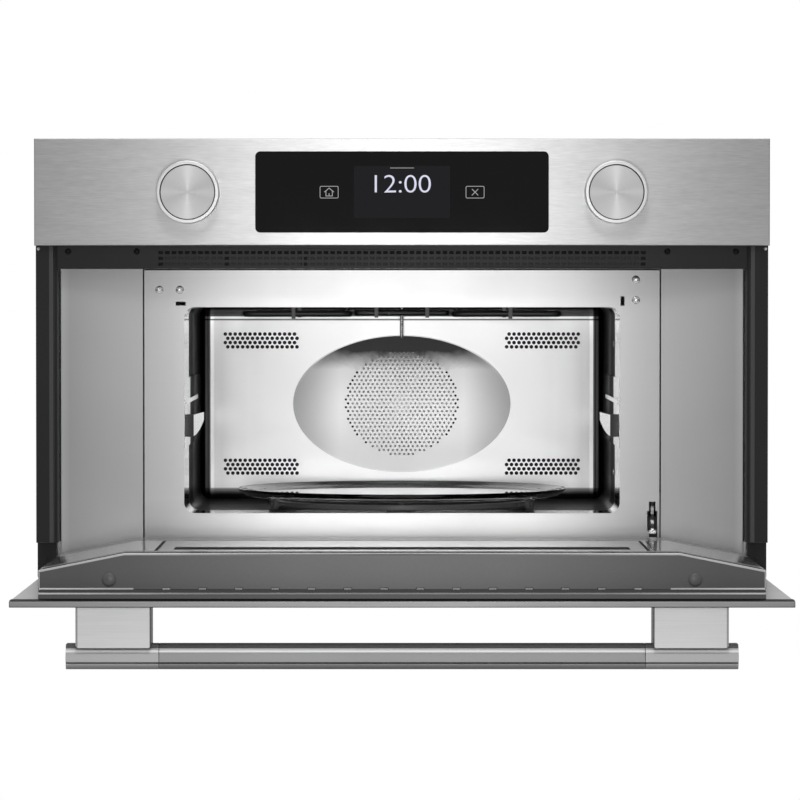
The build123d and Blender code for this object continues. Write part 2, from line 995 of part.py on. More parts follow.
def rack_support():
    """Right-hand pressed support on the cavity wall, with a ledge and a rib."""
    wall = cavity_half
    face = wall - support_sheet
    backing = block((face, wall), (support_front, support_back), (support_bottom, support_top))
    back_top = ledge_top - ledge_back_drop
    back_bottom = back_top - ledge_back_height
    front_top = (behind(ledge_front), ledge_top)
    front_bottom = (behind(ledge_front), ledge_bottom)
    rear_top = (behind(ledge_back), back_top)
    rear_bottom = (behind(ledge_back), back_bottom)
    sag = (behind((ledge_front + ledge_back) / 2), ledge_bottom + ledge_sag)
    edges = [
        Line(front_bottom, front_top),
        Line(front_top, rear_top),
        Line(rear_top, rear_bottom),
        ThreePointArc(rear_bottom, sag, front_bottom),
    ]
    ledge = side_prism(make_face(Wire(edges)), (face - ledge_proud, face))
    rib = block(
        (face - rib_proud, face),
        (support_front, rib_back),
        (rib_z - rib_height / 2, rib_z + rib_height / 2),
    )
    return backing + ledge + rib


def grill_heater():
    """Sheathed element under the ceiling, and the clips that hang it."""
    z = cavity_ceiling - heater_drop
    right = [
        (heater_terminal_x, behind(heater_back), heater_terminal_top),
        (heater_terminal_x, behind(heater_back), z),
        (heater_half_width, behind(heater_back), z),
        (heater_half_width, behind(heater_front), z),
        (heater_inner_x, behind(heater_front), z),
        (heater_inner_x, behind(heater_middle), z),
    ]
    points = right + [(-x, y, height) for x, y, height in reversed(right)]
    route = FilletPolyline(*points, radius=heater_bend)
    section = Plane(origin=points[0], z_dir=(0, 0, -1)) * Circle(heater_radius)
    element = sweep(section, path=route)
    clips = [
        heater_clip(x, depth)
        for depth, offset in ((heater_back, clip_outer_x), (heater_middle, clip_inner_x))
        for x in (-offset, offset)
    ]
    clips += [heater_clip(x, heater_front) for x in (-clip_outer_x, clip_outer_x)]
    return group(element, *clips)


def heater_clip(x, depth):
    z = cavity_ceiling - heater_drop
    body = block(
        (x - clip_width / 2, x + clip_width / 2),
        (depth - clip_length / 2, depth + clip_length / 2),
        (z - heater_radius - clip_wall, cavity_ceiling),
    )
    hole = side_disc(depth, z, heater_radius + close_gap, (x - clip_width, x + clip_width))
    return body - hole


def probe_rod():
    """Thin rod that hangs from the ceiling in front of the back wall."""
    y = behind(rod_depth)
    top = cavity_ceiling + cavity_sheet
    rod = upright_disc(0, y, rod_radius, (cavity_ceiling - rod_length, top))
    tip = rod.faces().sort_by(Axis.Z)[0].edges()
    rod = fillet(tip, rod_tip)
    return rod + upright_disc(0, y, rod_flange_radius, (top, top + rod_flange_height))


def cavity_lamp():
    """Glass lens in the ceiling and the lamp housing on top of it."""
    y = behind(lamp_depth)
    top = cavity_ceiling + cavity_sheet
    lens = upright_disc(lamp_x, y, lamp_radius, (top - lamp_lens_height, top))
    housing = upright_disc(lamp_x, y, lamp_housing_radius, (top, top + lamp_housing_height))
    inside = upright_disc(
        lamp_x, y, lamp_radius - lamp_wall, (top, top + lamp_housing_height - lamp_wall)
    )
    return group(lens, housing - inside)


# Turntable


def around_table(angle):
    """Turn a piece about the turntable's axis, from the front."""
    return Pos(0, table_y, 0) * Rot(0, 0, angle)


def glass_tray():
    """Round tray with a raised rim and three lugs that the coupler turns."""
    bottom = tray_bottom
    top = bottom + tray_thickness
    rim_top = bottom + tray_rim_rise
    flat = tray_flat_radius
    profile = outline_from(
        [
            (0, bottom),
            (flat, bottom),
            (flat + 5, bottom + 1.2),
            (tray_radius - 1.5, rim_top - 2.8),
            (tray_radius, rim_top - 0.6),
            (tray_radius - 1.2, rim_top),
            (tray_radius - 3.5, rim_top - 0.8),
            (flat + 3.5, top + 1),
            (flat, top),
            (0, top),
        ]
    )
    disc = revolve(Plane.XZ * profile, Axis.Z)
    lug = Pos(0, -lug_circle, bottom - lug_size / 2) * Box(lug_size, lug_size, lug_size)
    for turn in (60, 180, 300):
        disc += Rot(0, 0, turn) * lug
    return Pos(0, table_y, 0) * disc


def drive_coupler():
    """Three-lobed head and the shaft that goes down into the motor."""
    head_bottom = tray_bottom - seat_gap - coupler_height
    z_range = (head_bottom, tray_bottom - seat_gap)
    head = upright_disc(0, 0, coupler_radius, z_range)
    middle = (z_range[0] + z_range[1]) / 2
    lobe = Pos(0, -lobe_radius / 2, middle) * Box(lobe_width, lobe_radius, coupler_height)
    for turn in (0, 120, 240):
        head += Rot(0, 0, turn) * lobe
    motor_top = cavity_floor - cavity_sheet
    shaft_bottom = motor_top - table_motor_bore_depth + seat_gap
    head += upright_disc(0, 0, coupler_shaft_radius, (shaft_bottom, head_bottom))
    return Pos(0, table_y, 0) * head


def roller_ring():
    """Ring under the tray with three axles for the rollers."""
    z_range = (roller_z - ring_height / 2, roller_z + ring_height / 2)
    ring = upright_disc(0, 0, ring_outer_radius, z_range)
    ring -= upright_disc(0, 0, ring_inner_radius, z_range)
    axle_end = roller_circle + roller_width / 2 + 2 * seat_gap
    axle_start = (ring_inner_radius + ring_outer_radius) / 2
    length = axle_end - axle_start
    axle = Pos(0, -(axle_start + axle_end) / 2, roller_z) * Rot(90, 0, 0)
    axle = axle * Cylinder(axle_radius, length)
    head = Pos(0, -axle_end - axle_head_height / 2, roller_z) * Rot(90, 0, 0)
    head = head * Cylinder(axle_head_radius, axle_head_height)
    for turn in roller_turns():
        ring += Rot(0, 0, turn) * (axle + head)
    return Pos(0, table_y, 0) * ring


def roller_turns():
    return (-60, 60, 180)


def roller(turn):
    """Wheel on its axle, with rounded edges."""
    wheel = Rot(90, 0, 0) * Cylinder(roller_radius, roller_width)
    wheel = fillet(wheel.edges().filter_by(GeomType.CIRCLE), roller_edge_radius)
    wheel -= Rot(90, 0, 0) * Cylinder(axle_radius + running_gap, 2 * roller_width)
    return around_table(turn) * Pos(0, -roller_circle, roller_z) * wheel


def turntable_motor():
    """Flat gear motor under the cavity floor, with its mounting ears."""
    top = cavity_floor - cavity_sheet
    body = upright_disc(0, table_y, table_motor_radius, (top - table_motor_height, top))
    ears = block(
        centred(table_motor_radius + motor_ear),
        (table_depth - motor_ear, table_depth + motor_ear),
        (top - motor_ear_sheet, top),
    )
    bore = upright_disc(
        0, table_y, coupler_shaft_radius + running_gap, (top - table_motor_bore_depth, top + 1)
    )
    return body + ears - bore


def support_rails():
    """Two channels that carry the cavity on the base plate."""
    top = cavity_floor - cavity_sheet
    half = support_rail_width / 2
    depths = (support_rail_front, support_rail_back)
    x_range = (support_rail_x - half, support_rail_x + half)
    rail = block(x_range, depths, (base_sheet, top))
    inner = (x_range[0] + base_sheet, x_range[1] - base_sheet)
    rail -= block(inner, (depths[0] - 1, depths[1] + 1), (0, top - base_sheet))
    return pair(rail)


# Fan chamber


def fan_chamber():
    """Pan behind the back wall that holds the fan and the ring heater."""
    half_width = chamber_width / 2
    half_height = chamber_height / 2
    z_range = (dish_centre_z - half_height, dish_centre_z + half_height)
    pan = block(centred(half_width), (back_wall_rear, chamber_back), z_range)
    pan -= block(
        centred(half_width - chamber_sheet),
        (back_wall_rear, chamber_back - chamber_sheet),
        (z_range[0] + chamber_sheet, z_range[1] - chamber_sheet),
    )
    lip_depths = (back_wall_rear, back_wall_rear + chamber_sheet)
    lip = block(
        centred(half_width + chamber_lip),
        lip_depths,
        (z_range[0] - chamber_lip, z_range[1] + chamber_lip),
    )
    lip -= block(centred(half_width - chamber_sheet), lip_depths, z_range)
    pan += lip
    pan -= front_disc(0, dish_centre_z, shaft_hole_radius, (back_wall_rear, chamber_back + 1))
    for x, z in ring_lead_places():
        pan -= front_disc(x, z, terminal_hole_radius, (back_wall_rear, chamber_back + 1))
    return pan


def ring_lead_places():
    """Where the ring heater's two ends leave through the back."""
    places = []
    for angle in (-ring_lead_angle, ring_lead_angle):
        swing = math.radians(angle)
        x = ring_heater_radius * math.sin(swing)
        places.append((x, dish_centre_z - ring_heater_radius * math.cos(swing)))
    return places


def ring_heater():
    """Open ring of sheathed element, its two ends turned back through the chamber."""
    depth = back_wall_rear + ring_heater_setback
    start_angle = -90 + ring_lead_angle
    sweep_angle = 360 - 2 * ring_lead_angle
    plane = Plane.XZ.offset(-behind(depth)).shift_origin((0, behind(depth), dish_centre_z))
    arc = plane * CenterArc((0, 0), ring_heater_radius, start_angle, sweep_angle)
    section = Plane(origin=arc @ 0, z_dir=arc % 0) * Circle(ring_tube_radius)
    tube = sweep(section, path=arc)
    for x, z in ring_lead_places():
        tube += front_disc(x, z, ring_tube_radius, (depth, chamber_back + ring_lead_tail))
        collar = (chamber_back, chamber_back + ring_collar_height)
        tube += front_disc(x, z, ring_collar_radius, collar)
    return tube


def convection_fan():
    """Radial fan wheel with its shaft."""
    back = chamber_back - chamber_sheet - fan_back_clear
    disc = front_disc(0, dish_centre_z, fan_radius, (back - fan_blade_sheet, back))
    blade_depths = (back - fan_blade_sheet - fan_blade_height, back)
    middle = behind(sum(blade_depths) / 2)
    start = fan_blade_inner - fan_blade_sheet
    length = fan_radius - fan_blade_sheet - start
    blade = Box(fan_blade_sheet, blade_depths[1] - blade_depths[0], length)
    wheel = disc + front_disc(0, dish_centre_z, fan_blade_inner, blade_depths)
    for number in range(fan_blades):
        turn = Pos(0, middle, dish_centre_z) * Rot(0, number * 360 / fan_blades + 90, 0)
        wheel += turn * Pos(0, 0, start + length / 2) * blade
    shaft_depths = (blade_depths[0], chamber_back + fan_motor_length - seat_gap)
    return wheel + front_disc(0, dish_centre_z, fan_shaft_radius, shaft_depths)


def convection_motor():
    """Fan motor on the back of the chamber, with a square mounting plate."""
    half_height = fan_motor_radius - fan_plate_inset
    plate = block(
        centred(fan_motor_radius + fan_plate_ear),
        (chamber_back, chamber_back + fan_plate_sheet),
        (dish_centre_z - half_height, dish_centre_z + half_height),
    )
    can_depths = (chamber_back + fan_plate_sheet, chamber_back + fan_motor_length)
    can = front_disc(0, dish_centre_z, fan_motor_radius, can_depths)
    bore = front_disc(
        0,
        dish_centre_z,
        fan_shaft_radius + running_gap,
        (chamber_back - 1, chamber_back + fan_motor_length),
    )
    return plate + can - bore


# Above the cavity


def component_deck():
    """Shelf above the cavity that carries the magnetron, the inverter and the blower."""
    depths = (deck_front, chassis_back)
    deck = block(centred(half_inside), depths, (deck_z, deck_top))
    right = (half_inside - deck_sheet, half_inside)
    flange = block(right, depths, (deck_top, deck_top + deck_flange))
    deck += flange + left_of(flange)
    hole_range = (deck_z - 1, deck_top + 1)
    hole = antenna_radius + antenna_gap
    return deck - upright_disc(0, behind(magnetron_depth), hole, hole_range)


def waveguide():
    """Duct from the magnetron's antenna down to the port in the cavity's ceiling."""
    bottom = cavity_ceiling + cavity_sheet
    depths = (guide_front, guide_back)
    duct = block(centred(guide_width / 2), depths, (bottom, deck_z))
    duct -= block(
        centred(guide_width / 2 - guide_sheet),
        (guide_front + guide_sheet, guide_back - guide_sheet),
        (bottom + guide_sheet, deck_z - guide_sheet),
    )
    port_front = guide_front + guide_port_inset
    duct -= block(
        centred(guide_port_width / 2),
        (port_front, port_front + guide_port_length),
        (bottom - 1, bottom + 2 * guide_sheet),
    )
    hole = antenna_radius + antenna_gap
    top_hole = (deck_z - 2 * guide_sheet, deck_z + 1)
    return duct - upright_disc(0, behind(magnetron_depth), hole, top_hole)


def waveguide_cover():
    """Thin mica sheet under the port in the ceiling."""
    port_front = guide_front + guide_port_inset
    return block(
        centred(guide_port_width / 2 + mica_margin),
        (port_front - mica_margin, port_front + guide_port_length + mica_margin),
        (cavity_ceiling - mica_thickness, cavity_ceiling),
    )


def magnetron():
    """Magnetron with its antenna, cooling fins and yoke."""
    y = behind(magnetron_depth)
    bottom = deck_top
    top = bottom + magnetron_height
    half_length = magnetron_base_length / 2
    depths = (magnetron_depth - half_length, magnetron_depth + half_length)
    half_width = magnetron_base_width / 2
    body = block(centred(half_width), depths, (bottom, bottom + yoke_end))
    body += block(centred(half_width), depths, (top - yoke_end, top))
    wall = block((half_width - yoke_side, half_width), depths, (bottom, top))
    body += wall + left_of(wall)
    body += upright_disc(0, y, magnetron_core_radius, (bottom, top))
    half_fin = fin_length / 2
    fin_depths = (magnetron_depth - half_fin, magnetron_depth + half_fin)
    first = bottom + (magnetron_height - fin_pitch * (fin_count - 1)) / 2
    for number in range(fin_count):
        z = first + number * fin_pitch
        body += block(centred(fin_width / 2), fin_depths, (z, z + fin_sheet))
    antenna = (deck_z - guide_sheet - antenna_reach, bottom)
    return body + upright_disc(0, y, antenna_radius, antenna)


def inverter():
    """Power supply board on four posts, with its transformer, heat sink and capacitors."""
    z = deck_top + inverter_post
    top = z + board_sheet
    left = inverter_x - inverter_width / 2
    right = inverter_x + inverter_width / 2
    front = inverter_depth - inverter_length / 2
    back = inverter_depth + inverter_length / 2
    board = block((left, right), (front, back), (z, top))

    core_x = left + inverter_edge + coil_width / 2
    core_depth = front + inverter_edge + core_length / 2
    for width, length, height in (
        (coil_width, coil_length, coil_height),
        (core_width, core_length, core_height),
    ):
        board += block(
            (core_x - width / 2, core_x + width / 2),
            (core_depth - length / 2, core_depth + length / 2),
            (top, top + height),
        )

    sink_depths = (front + 2 * inverter_edge, back - 2 * inverter_edge)
    sink_left = right - inverter_edge - sink_width
    board += block((sink_left, sink_left + sink_width), sink_depths, (top, top + sink_base))
    fin_gap = (sink_width - sink_fin) / (sink_fins - 1)
    for number in range(sink_fins):
        start = sink_left + number * fin_gap
        board += block((start, start + sink_fin), sink_depths, (top, top + sink_height))

    for number in range(capacitor_count):
        depth = back - inverter_edge - capacitor_radius - number * capacitor_pitch
        board += upright_disc(
            core_x - capacitor_radius, behind(depth), capacitor_radius, (top, top + capacitor_height)
        )
    for x in (left + post_inset, right - post_inset):
        for depth in (front + post_inset, back - post_inset):
            board += upright_disc(x, behind(depth), post_radius, (deck_top, z))
    return board


def blower_outline(shrink=0.0):
    """Scroll outline: a round end with a straight outlet towards the front."""
    round_end = Pos(blower_x, behind(blower_depth)) * Circle(blower_radius - shrink)
    right = blower_x + blower_radius - shrink
    left = blower_x + blower_radius - blower_outlet_width + shrink
    front = behind(blower_outlet_front) - (1 if shrink else 0)
    outlet = outline_from(
        [
            (left, front),
            (right, front),
            (right, behind(blower_depth)),
            (left, behind(blower_depth)),
        ]
    )
    return round_end + outlet


def blower_housing():
    """Blower casing that stands on the deck, open at its inlet and its outlet."""
    top = deck_top + blower_height
    casing = plan_prism(blower_outline(), (deck_top, top))
    inside = (deck_top + blower_sheet, top - blower_sheet)
    casing -= plan_prism(blower_outline(blower_sheet), inside)
    inlet = (top - 2 * blower_sheet, top + 1)
    return casing - upright_disc(blower_x, behind(blower_depth), blower_inlet_radius, inlet)


def blower_wheel():
    """Squirrel-cage wheel with its shaft up into the motor."""
    bottom = deck_top + blower_sheet + wheel_lift
    top = bottom + wheel_height
    wheel = upright_disc(0, 0, wheel_radius, (bottom, bottom + wheel_disc))
    wheel += upright_disc(0, 0, wheel_radius, (top - wheel_disc, top)) - upright_disc(
        0, 0, wheel_inner_radius, (top - 2 * wheel_disc, top + 1)
    )
    length = wheel_radius - wheel_inner_radius - 1
    radius = (wheel_radius + wheel_inner_radius) / 2
    blade = Pos(radius, 0, (bottom + top) / 2) * Box(
        length, wheel_blade_sheet, wheel_height - wheel_disc
    )
    for number in range(wheel_blades):
        wheel += Rot(0, 0, number * 360 / wheel_blades) * blade
    motor_bottom = deck_top + blower_height + blower_motor_lift
    shaft_top = motor_bottom + blower_motor_height / 2
    wheel += upright_disc(0, 0, wheel_shaft_radius, (bottom, shaft_top))
    return Pos(blower_x, behind(blower_depth), 0) * wheel


def blower_motor():
    """Motor above the inlet, on three legs that stand on the casing."""
    casing_top = deck_top + blower_height
    bottom = casing_top + blower_motor_lift
    can = upright_disc(0, 0, blower_motor_radius, (bottom, bottom + blower_motor_height))
    reach = blower_inlet_radius + bracket_leg_width
    arm = Pos(reach / 2, 0, bottom + bracket_sheet / 2)
    arm = arm * Box(reach, bracket_leg_width, bracket_sheet)
    foot_x = reach - bracket_leg_width / 2
    foot_z = (casing_top + bottom) / 2
    foot = Pos(foot_x, 0, foot_z) * Box(bracket_leg_width, bracket_leg_width, blower_motor_lift)
    for turn in (0, 120, 240):
        can += Rot(0, 0, turn) * (arm + foot)
    shaft_top = bottom + blower_motor_height / 2 + seat_gap
    bore = upright_disc(0, 0, wheel_shaft_radius + running_gap, (bottom - 1, shaft_top))
    return Pos(blower_x, behind(blower_depth), 0) * (can - bore)


# Covers


def base_plate():
    """Base pan with upturned side flanges."""
    depths = (base_setback, chassis_back)
    plate = block(centred(half_inside), depths, (0, base_sheet))
    flange_depths = (flange_front + flange_sheet, chassis_back)
    right = (half_inside - base_sheet, half_inside)
    flange = block(right, flange_depths, (base_sheet, base_sheet + base_flange))
    return plate + flange + left_of(flange)


def outer_wrapper():
    """Sheet over both sides and the top, with cooling slots in the top."""
    depths = (flange_front + flange_sheet, cover_back)
    wrapper = block(centred(half_chassis), depths, (0, chassis_height))
    wrapper -= block(
        centred(half_inside),
        (0, cover_back + 1),
        (-1, chassis_height - wrapper_sheet),
    )
    for side in (-1, 1):
        for number in range(top_slot_count):
            offset = (number - (top_slot_count - 1) / 2) * top_slot_pitch
            middle = side * top_slot_x + offset
            wrapper -= block(
                (middle - top_slot_width / 2, middle + top_slot_width / 2),
                (top_slot_back - top_slot_length, top_slot_back),
                (chassis_height - 2 * wrapper_sheet, chassis_height + 1),
            )
    return wrapper


def rear_cover():
    """Back sheet with two groups of louvre slots and the hole for the cable gland."""
    depths = (chassis_back, cover_back)
    through = (chassis_back - 1, cover_back + 1)
    z_range = (0, chassis_height - wrapper_sheet)
    cover = block(centred(half_inside), depths, z_range)
    for side in (-1, 1):
        x = side * louver_x
        for number in range(louver_count):
            z = louver_z + (number - (louver_count - 1) / 2) * louver_pitch
            cover -= block(
                (x - louver_length / 2, x + louver_length / 2),
                through,
                (z - louver_width / 2, z + louver_width / 2),
            )
    return cover - front_disc(gland_x, gland_z, gland_hole_radius, through)


def cable_gland():
    """Bush in the rear cover for the supply lead."""
    inner_end = cover_back - gland_length / 2
    outer_end = cover_back + gland_length / 2
    body = front_disc(gland_x, gland_z, gland_body_radius, (inner_end, outer_end))
    flange = front_disc(
        gland_x, gland_z, gland_flange_radius, (cover_back, cover_back + gland_flange_height)
    )
    bore = front_disc(gland_x, gland_z, gland_bore_radius, (inner_end - 1, outer_end + 1))
    return body + flange - bore


# Door


def door_skin():
    """Outer panel of the door with a stepped hole for the outer glass."""
    z_range = (skin_outer_z, skin_inner_z)
    skin = block(centred(half_front), (skin_near, skin_far), z_range)
    outer_edges = skin.faces().sort_by(Axis.Z)[0].edges()
    skin = fillet(outer_edges, skin_edge_radius)
    skin -= block(
        centred(window_width / 2),
        (-window_near, -window_far),
        (skin_outer_z - 1, skin_outer_z + window_thickness),
    )
    skin -= block(
        centred(window_width / 2 - window_ledge),
        (-window_near + window_ledge, -window_far - window_ledge),
        (skin_outer_z, skin_inner_z + 1),
    )
    return skin


def door_glass():
    return block(
        centred(window_width / 2 - inner_glass_gap),
        (-window_near + inner_glass_gap, -window_far - inner_glass_gap),
        (skin_outer_z, skin_outer_z + window_thickness),
    )


def door_carrier():
    """Frame between the skin and the choke cover, with a step that leaves a seam."""
    half_width = body_width / 2
    frame = block(centred(half_width), (body_near, body_far), (skin_inner_z, carrier_top))
    frame += block(
        centred(half_width - seam_setback),
        (body_near + seam_setback, body_far - seam_setback),
        (carrier_top, cover_bottom),
    )
    return frame - block(
        centred(carrier_inner_width / 2),
        (body_near + carrier_border, body_far - carrier_border),
        (skin_inner_z - 1, cover_bottom + 1),
    )


def cover_outline(wall=0.0):
    """Cross-section of the choke cover, with both side edges bevelled."""
    half_width = body_width / 2 - wall
    half_flat = body_flat_width / 2 - wall * 0.2
    return outline_from(
        [
            (-half_width, cover_bottom),
            (half_width, cover_bottom),
            (half_width, body_side_top - wall * 0.7),
            (half_flat, body_top - wall),
            (-half_flat, body_top - wall),
            (-half_width, body_side_top - wall * 0.7),
        ]
    )


def door_cover():
    """Choke cover: a bevelled shell with a window, a row of slots and hinge notches."""
    depths = (body_near, body_far)
    shell = front_prism(cover_outline(), depths)
    shell -= front_prism(cover_outline(cover_wall), (body_near + cover_wall, body_far - cover_wall))
    rib_bottom = body_top - close_gap - inner_glass_thickness
    half_glass = inner_glass_width / 2
    shell += block(
        centred(half_glass + glass_rib),
        (-inner_glass_near - glass_rib, -inner_glass_far + glass_rib),
        (rib_bottom, body_top - cover_wall / 2),
    )
    shell -= block(
        centred(half_glass + inner_glass_gap),
        (-inner_glass_near - inner_glass_gap, -inner_glass_far + inner_glass_gap),
        (rib_bottom - 1, body_top + 1),
    )
    first = -cover_slot_pitch * (cover_slot_count - 1) / 2
    for number in range(cover_slot_count):
        x = first + number * cover_slot_pitch
        shell -= block(
            (x - cover_slot_width / 2, x + cover_slot_width / 2),
            (body_near - 1, body_near + 2 * cover_wall),
            (cover_bottom - 1, cover_bottom + cover_slot_height),
        )
    notch_half = arm_width / 2 + arm_notch_gap
    notch = block(
        (arm_x - notch_half, arm_x + notch_half),
        (body_far - 2 * cover_wall, body_far + 1),
        (cover_bottom - 1, cover_bottom + arm_top_rise + 2 * arm_notch_gap),
    )
    return shell - notch - left_of(notch)


def door_inner_glass():
    top = body_top - close_gap
    return block(
        centred(inner_glass_width / 2),
        (-inner_glass_near, -inner_glass_far),
        (top - inner_glass_thickness, top),
    )


def door_mesh():
    """Perforated shielding sheet under the inner glass."""
    top = body_top - close_gap - inner_glass_thickness
    return block(
        centred(inner_glass_width / 2 + mesh_margin),
        (-inner_glass_near - mesh_margin, -inner_glass_far + mesh_margin),
        (top - mesh_sheet, top),
    )


def door_bumper():
    """Right-hand rubber button with a rounded rim on the door's near face."""
    depths = (body_near - bumper_height, body_near)
    button = front_disc(bumper_x, skin_inner_z + bumper_rise, bumper_radius, depths)
    front_rim = button.edges().filter_by(GeomType.CIRCLE).sort_by(Axis.Y)[0]
    return fillet(front_rim, bumper_dome)


def hinge_arm():
    """Right-hand arm that carries the door on its hinge pin."""
    x_range = (arm_x - arm_width / 2, arm_x + arm_width / 2)
    z_range = (cover_bottom, cover_bottom + arm_top_rise)
    bar = block(x_range, (-arm_near, hinge_depth), z_range)
    eye = side_disc(hinge_depth, hinge_z, eye_radius, x_range)
    bore = side_disc(
        hinge_depth, hinge_z, pin_radius + running_gap, (arm_x - arm_width, arm_x + arm_width)
    )
    return bar + eye - bore


def hinge_bracket():
    """Right-hand bracket on the base plate: two cheeks with the pin between them."""
    half_gap = arm_width / 2 + cheek_inner_gap
    base_top = base_sheet + bracket_base
    outer_x = arm_x + half_gap + cheek_sheet
    inner_x = arm_x - half_gap - cheek_sheet
    bracket = block((inner_x, outer_x), (hinge_depth, bracket_back), (base_sheet, base_top))
    for x0 in (inner_x, outer_x - cheek_sheet):
        x_range = (x0, x0 + cheek_sheet)
        bracket += block(x_range, (hinge_depth, bracket_back), (base_sheet, bracket_top))
        bracket += side_disc(hinge_depth, hinge_z, cheek_radius, x_range)
    pin = side_disc(hinge_depth, hinge_z, pin_radius, (inner_x, outer_x))
    return bracket + pin


# Door handle


def bar_outline():
    """Cross-section of the handle bar, with facets and a groove on its near side."""
    back = handle_bar_depth / 2
    half = handle_bar_height / 2
    points = [
        (-back + 5.5, half),
        (-back + 1.2, half - 5.6),
        (-back, half - 9.2),
        (-back, -half + 7.2),
        (-back + 1.5, -half + 6.6),
        (-back + 1.5, -half + 5.7),
        (-back + 0.3, -half + 5.2),
        (-back + 4.5, -half),
        (back - 5, -half),
        (back, -half + 6),
        (back, half - 6),
        (back - 5, half),
    ]
    return outline_from([(behind(handle_depth) + y, bar_centre_z + z) for y, z in points])


def handle_bar():
    """Middle bar and its two end pieces, with a fine joint between them."""
    half_length = handle_bar_length / 2
    joint = half_length - handle_end_length
    middle = side_prism(bar_outline(), centred(joint))
    end = side_prism(bar_outline(), (joint + close_gap, half_length))
    return group(middle, end, left_of(end))


def handle_bracket():
    """Right-hand bracket between the door skin and the bar, lapped over the bar's near edge."""
    front = handle_depth - handle_bracket_depth / 2
    back = handle_depth + handle_bracket_depth / 2
    half = handle_bracket_width / 2
    x_range = (handle_bracket_x - half, handle_bracket_x + half)
    bracket = block(x_range, (front, back), (bar_top - handle_bracket_lap, skin_outer_z))
    lower_edges = bracket.faces().sort_by(Axis.Z)[0].edges().filter_by(Axis.Y)
    bracket = fillet(lower_edges, handle_bracket_radius)
    room = handle_bar_depth / 2 + close_gap
    return bracket - block(
        (x_range[0] - 1, x_range[1] + 1),
        (handle_depth - room, handle_depth + room),
        (bar_top - 2 * handle_bracket_lap, bar_top),
    )


# Interlock


def interlock_lever():
    """Lever behind the cavity plate whose hook reaches out through the slot."""
    half = lever_sheet / 2
    x_range = (lever_x - half, lever_x + half)
    limb = block(
        x_range,
        (lever_limb_front, lever_limb_back),
        (lever_limb_bottom, lever_pivot_z + lever_boss_radius),
    )
    boss = side_disc(lever_pivot_depth, lever_pivot_z, lever_boss_radius, x_range)
    web = block(
        x_range,
        (lever_limb_back, lever_pivot_depth),
        (lever_pivot_z - lever_boss_radius, lever_pivot_z + lever_boss_radius),
    )
    hook = block(
        (lever_x - hook_width / 2, lever_x + hook_width / 2),
        (hook_front, lever_limb_back),
        (hook_bottom, hook_top),
    )
    bore = side_disc(
        lever_pivot_depth,
        lever_pivot_z,
        lever_pin_radius + running_gap,
        (lever_x - 10, lever_x + 10),
    )
    return limb + boss + web + hook - bore


def interlock_switch():
    """Holder on the back of the plate, with the lever's pin and the door switch."""
    inner = lever_x + hook_width / 2 + holder_gap
    x_range = (inner, inner + holder_sheet)
    z_range = (holder_bottom, lever_pivot_z + 2 * lever_boss_radius)
    holder = block(x_range, (plate_back, holder_back), z_range)
    foot_x = (inner, inner + holder_foot)
    foot = block(foot_x, (plate_back, plate_back + holder_sheet), z_range)
    pin = side_disc(
        lever_pivot_depth,
        lever_pivot_z,
        lever_pin_radius,
        (lever_x - lever_sheet, inner),
    )
    switch = block(
        (lever_x - hook_width / 2, inner),
        (switch_front, switch_back),
        (switch_bottom, switch_top),
    )
    return holder + foot + pin + switch


def build_nodes():
    """Every sub-part under its node name."""
    nodes = {
        "control_panel": control_panel(),
        "display_glass": display_glass(),
        "display_housing": display_housing(),
        "control_board": control_board(),
        "encoders": pair(encoder(knob_offset)),
        "knob_left": knob(-knob_offset),
        "knob_right": knob(knob_offset),
        "frame_posts": pair(frame_post()),
        "mounting_flange": mounting_flange(),
        "vent_grille": vent_grille(),
        "vent_baffle": vent_baffle(),
        "grille_screws": grille_screws(),
        "side_liners": pair(side_liner()),
        "sill": sill(),
        "cavity_plate": cavity_plate(),
        "cavity_screws": cavity_screws(),
        "cavity_liner": cavity_liner(),
        "cavity_back": cavity_back(),
        "fan_cover": fan_cover(),
        "rack_supports": pair(rack_support()),
        "grill_heater": grill_heater(),
        "probe_rod": probe_rod(),
        "cavity_lamp": cavity_lamp(),
        "glass_tray": glass_tray(),
        "drive_coupler": drive_coupler(),
        "roller_ring": roller_ring(),
        "turntable_motor": turntable_motor(),
        "support_rails": support_rails(),
        "fan_chamber": fan_chamber(),
        "ring_heater": ring_heater(),
        "convection_fan": convection_fan(),
        "convection_motor": convection_motor(),
        "component_deck": component_deck(),
        "waveguide": waveguide(),
        "waveguide_cover": waveguide_cover(),
        "magnetron": magnetron(),
        "inverter": inverter(),
        "blower_housing": blower_housing(),
        "blower_wheel": blower_wheel(),
        "blower_motor": blower_motor(),
        "base_plate": base_plate(),
        "outer_wrapper": outer_wrapper(),
        "rear_cover": rear_cover(),
        "cable_gland": cable_gland(),
        "door_skin": door_skin(),
        "door_glass": door_glass(),
        "door_carrier": door_carrier(),
        "door_cover": door_cover(),
        "door_inner_glass": door_inner_glass(),
        "door_mesh": door_mesh(),
        "door_bumpers": pair(door_bumper()),
        "hinge_arms": pair(hinge_arm()),
        "hinge_brackets": pair(hinge_bracket()),
        "handle_bar": handle_bar(),
        "handle_brackets": pair(handle_bracket()),
        "interlock_lever": interlock_lever(),
        "interlock_switch": interlock_switch(),
    }
    for name, turn in zip("abc", roller_turns()):
        nodes["roller_" + name] = roller(turn)
    return nodes


os.makedirs("parts", exist_ok=True)
for node_name, shape in build_nodes().items():
    export_step(shape, "parts/" + node_name + ".step")
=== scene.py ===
"""Built-in microwave with its door down: finishes, small fittings, light and camera."""

import logging
import math
from abc import ABC, abstractmethod
from collections.abc import Sequence
from dataclasses import dataclass, field
from enum import Enum

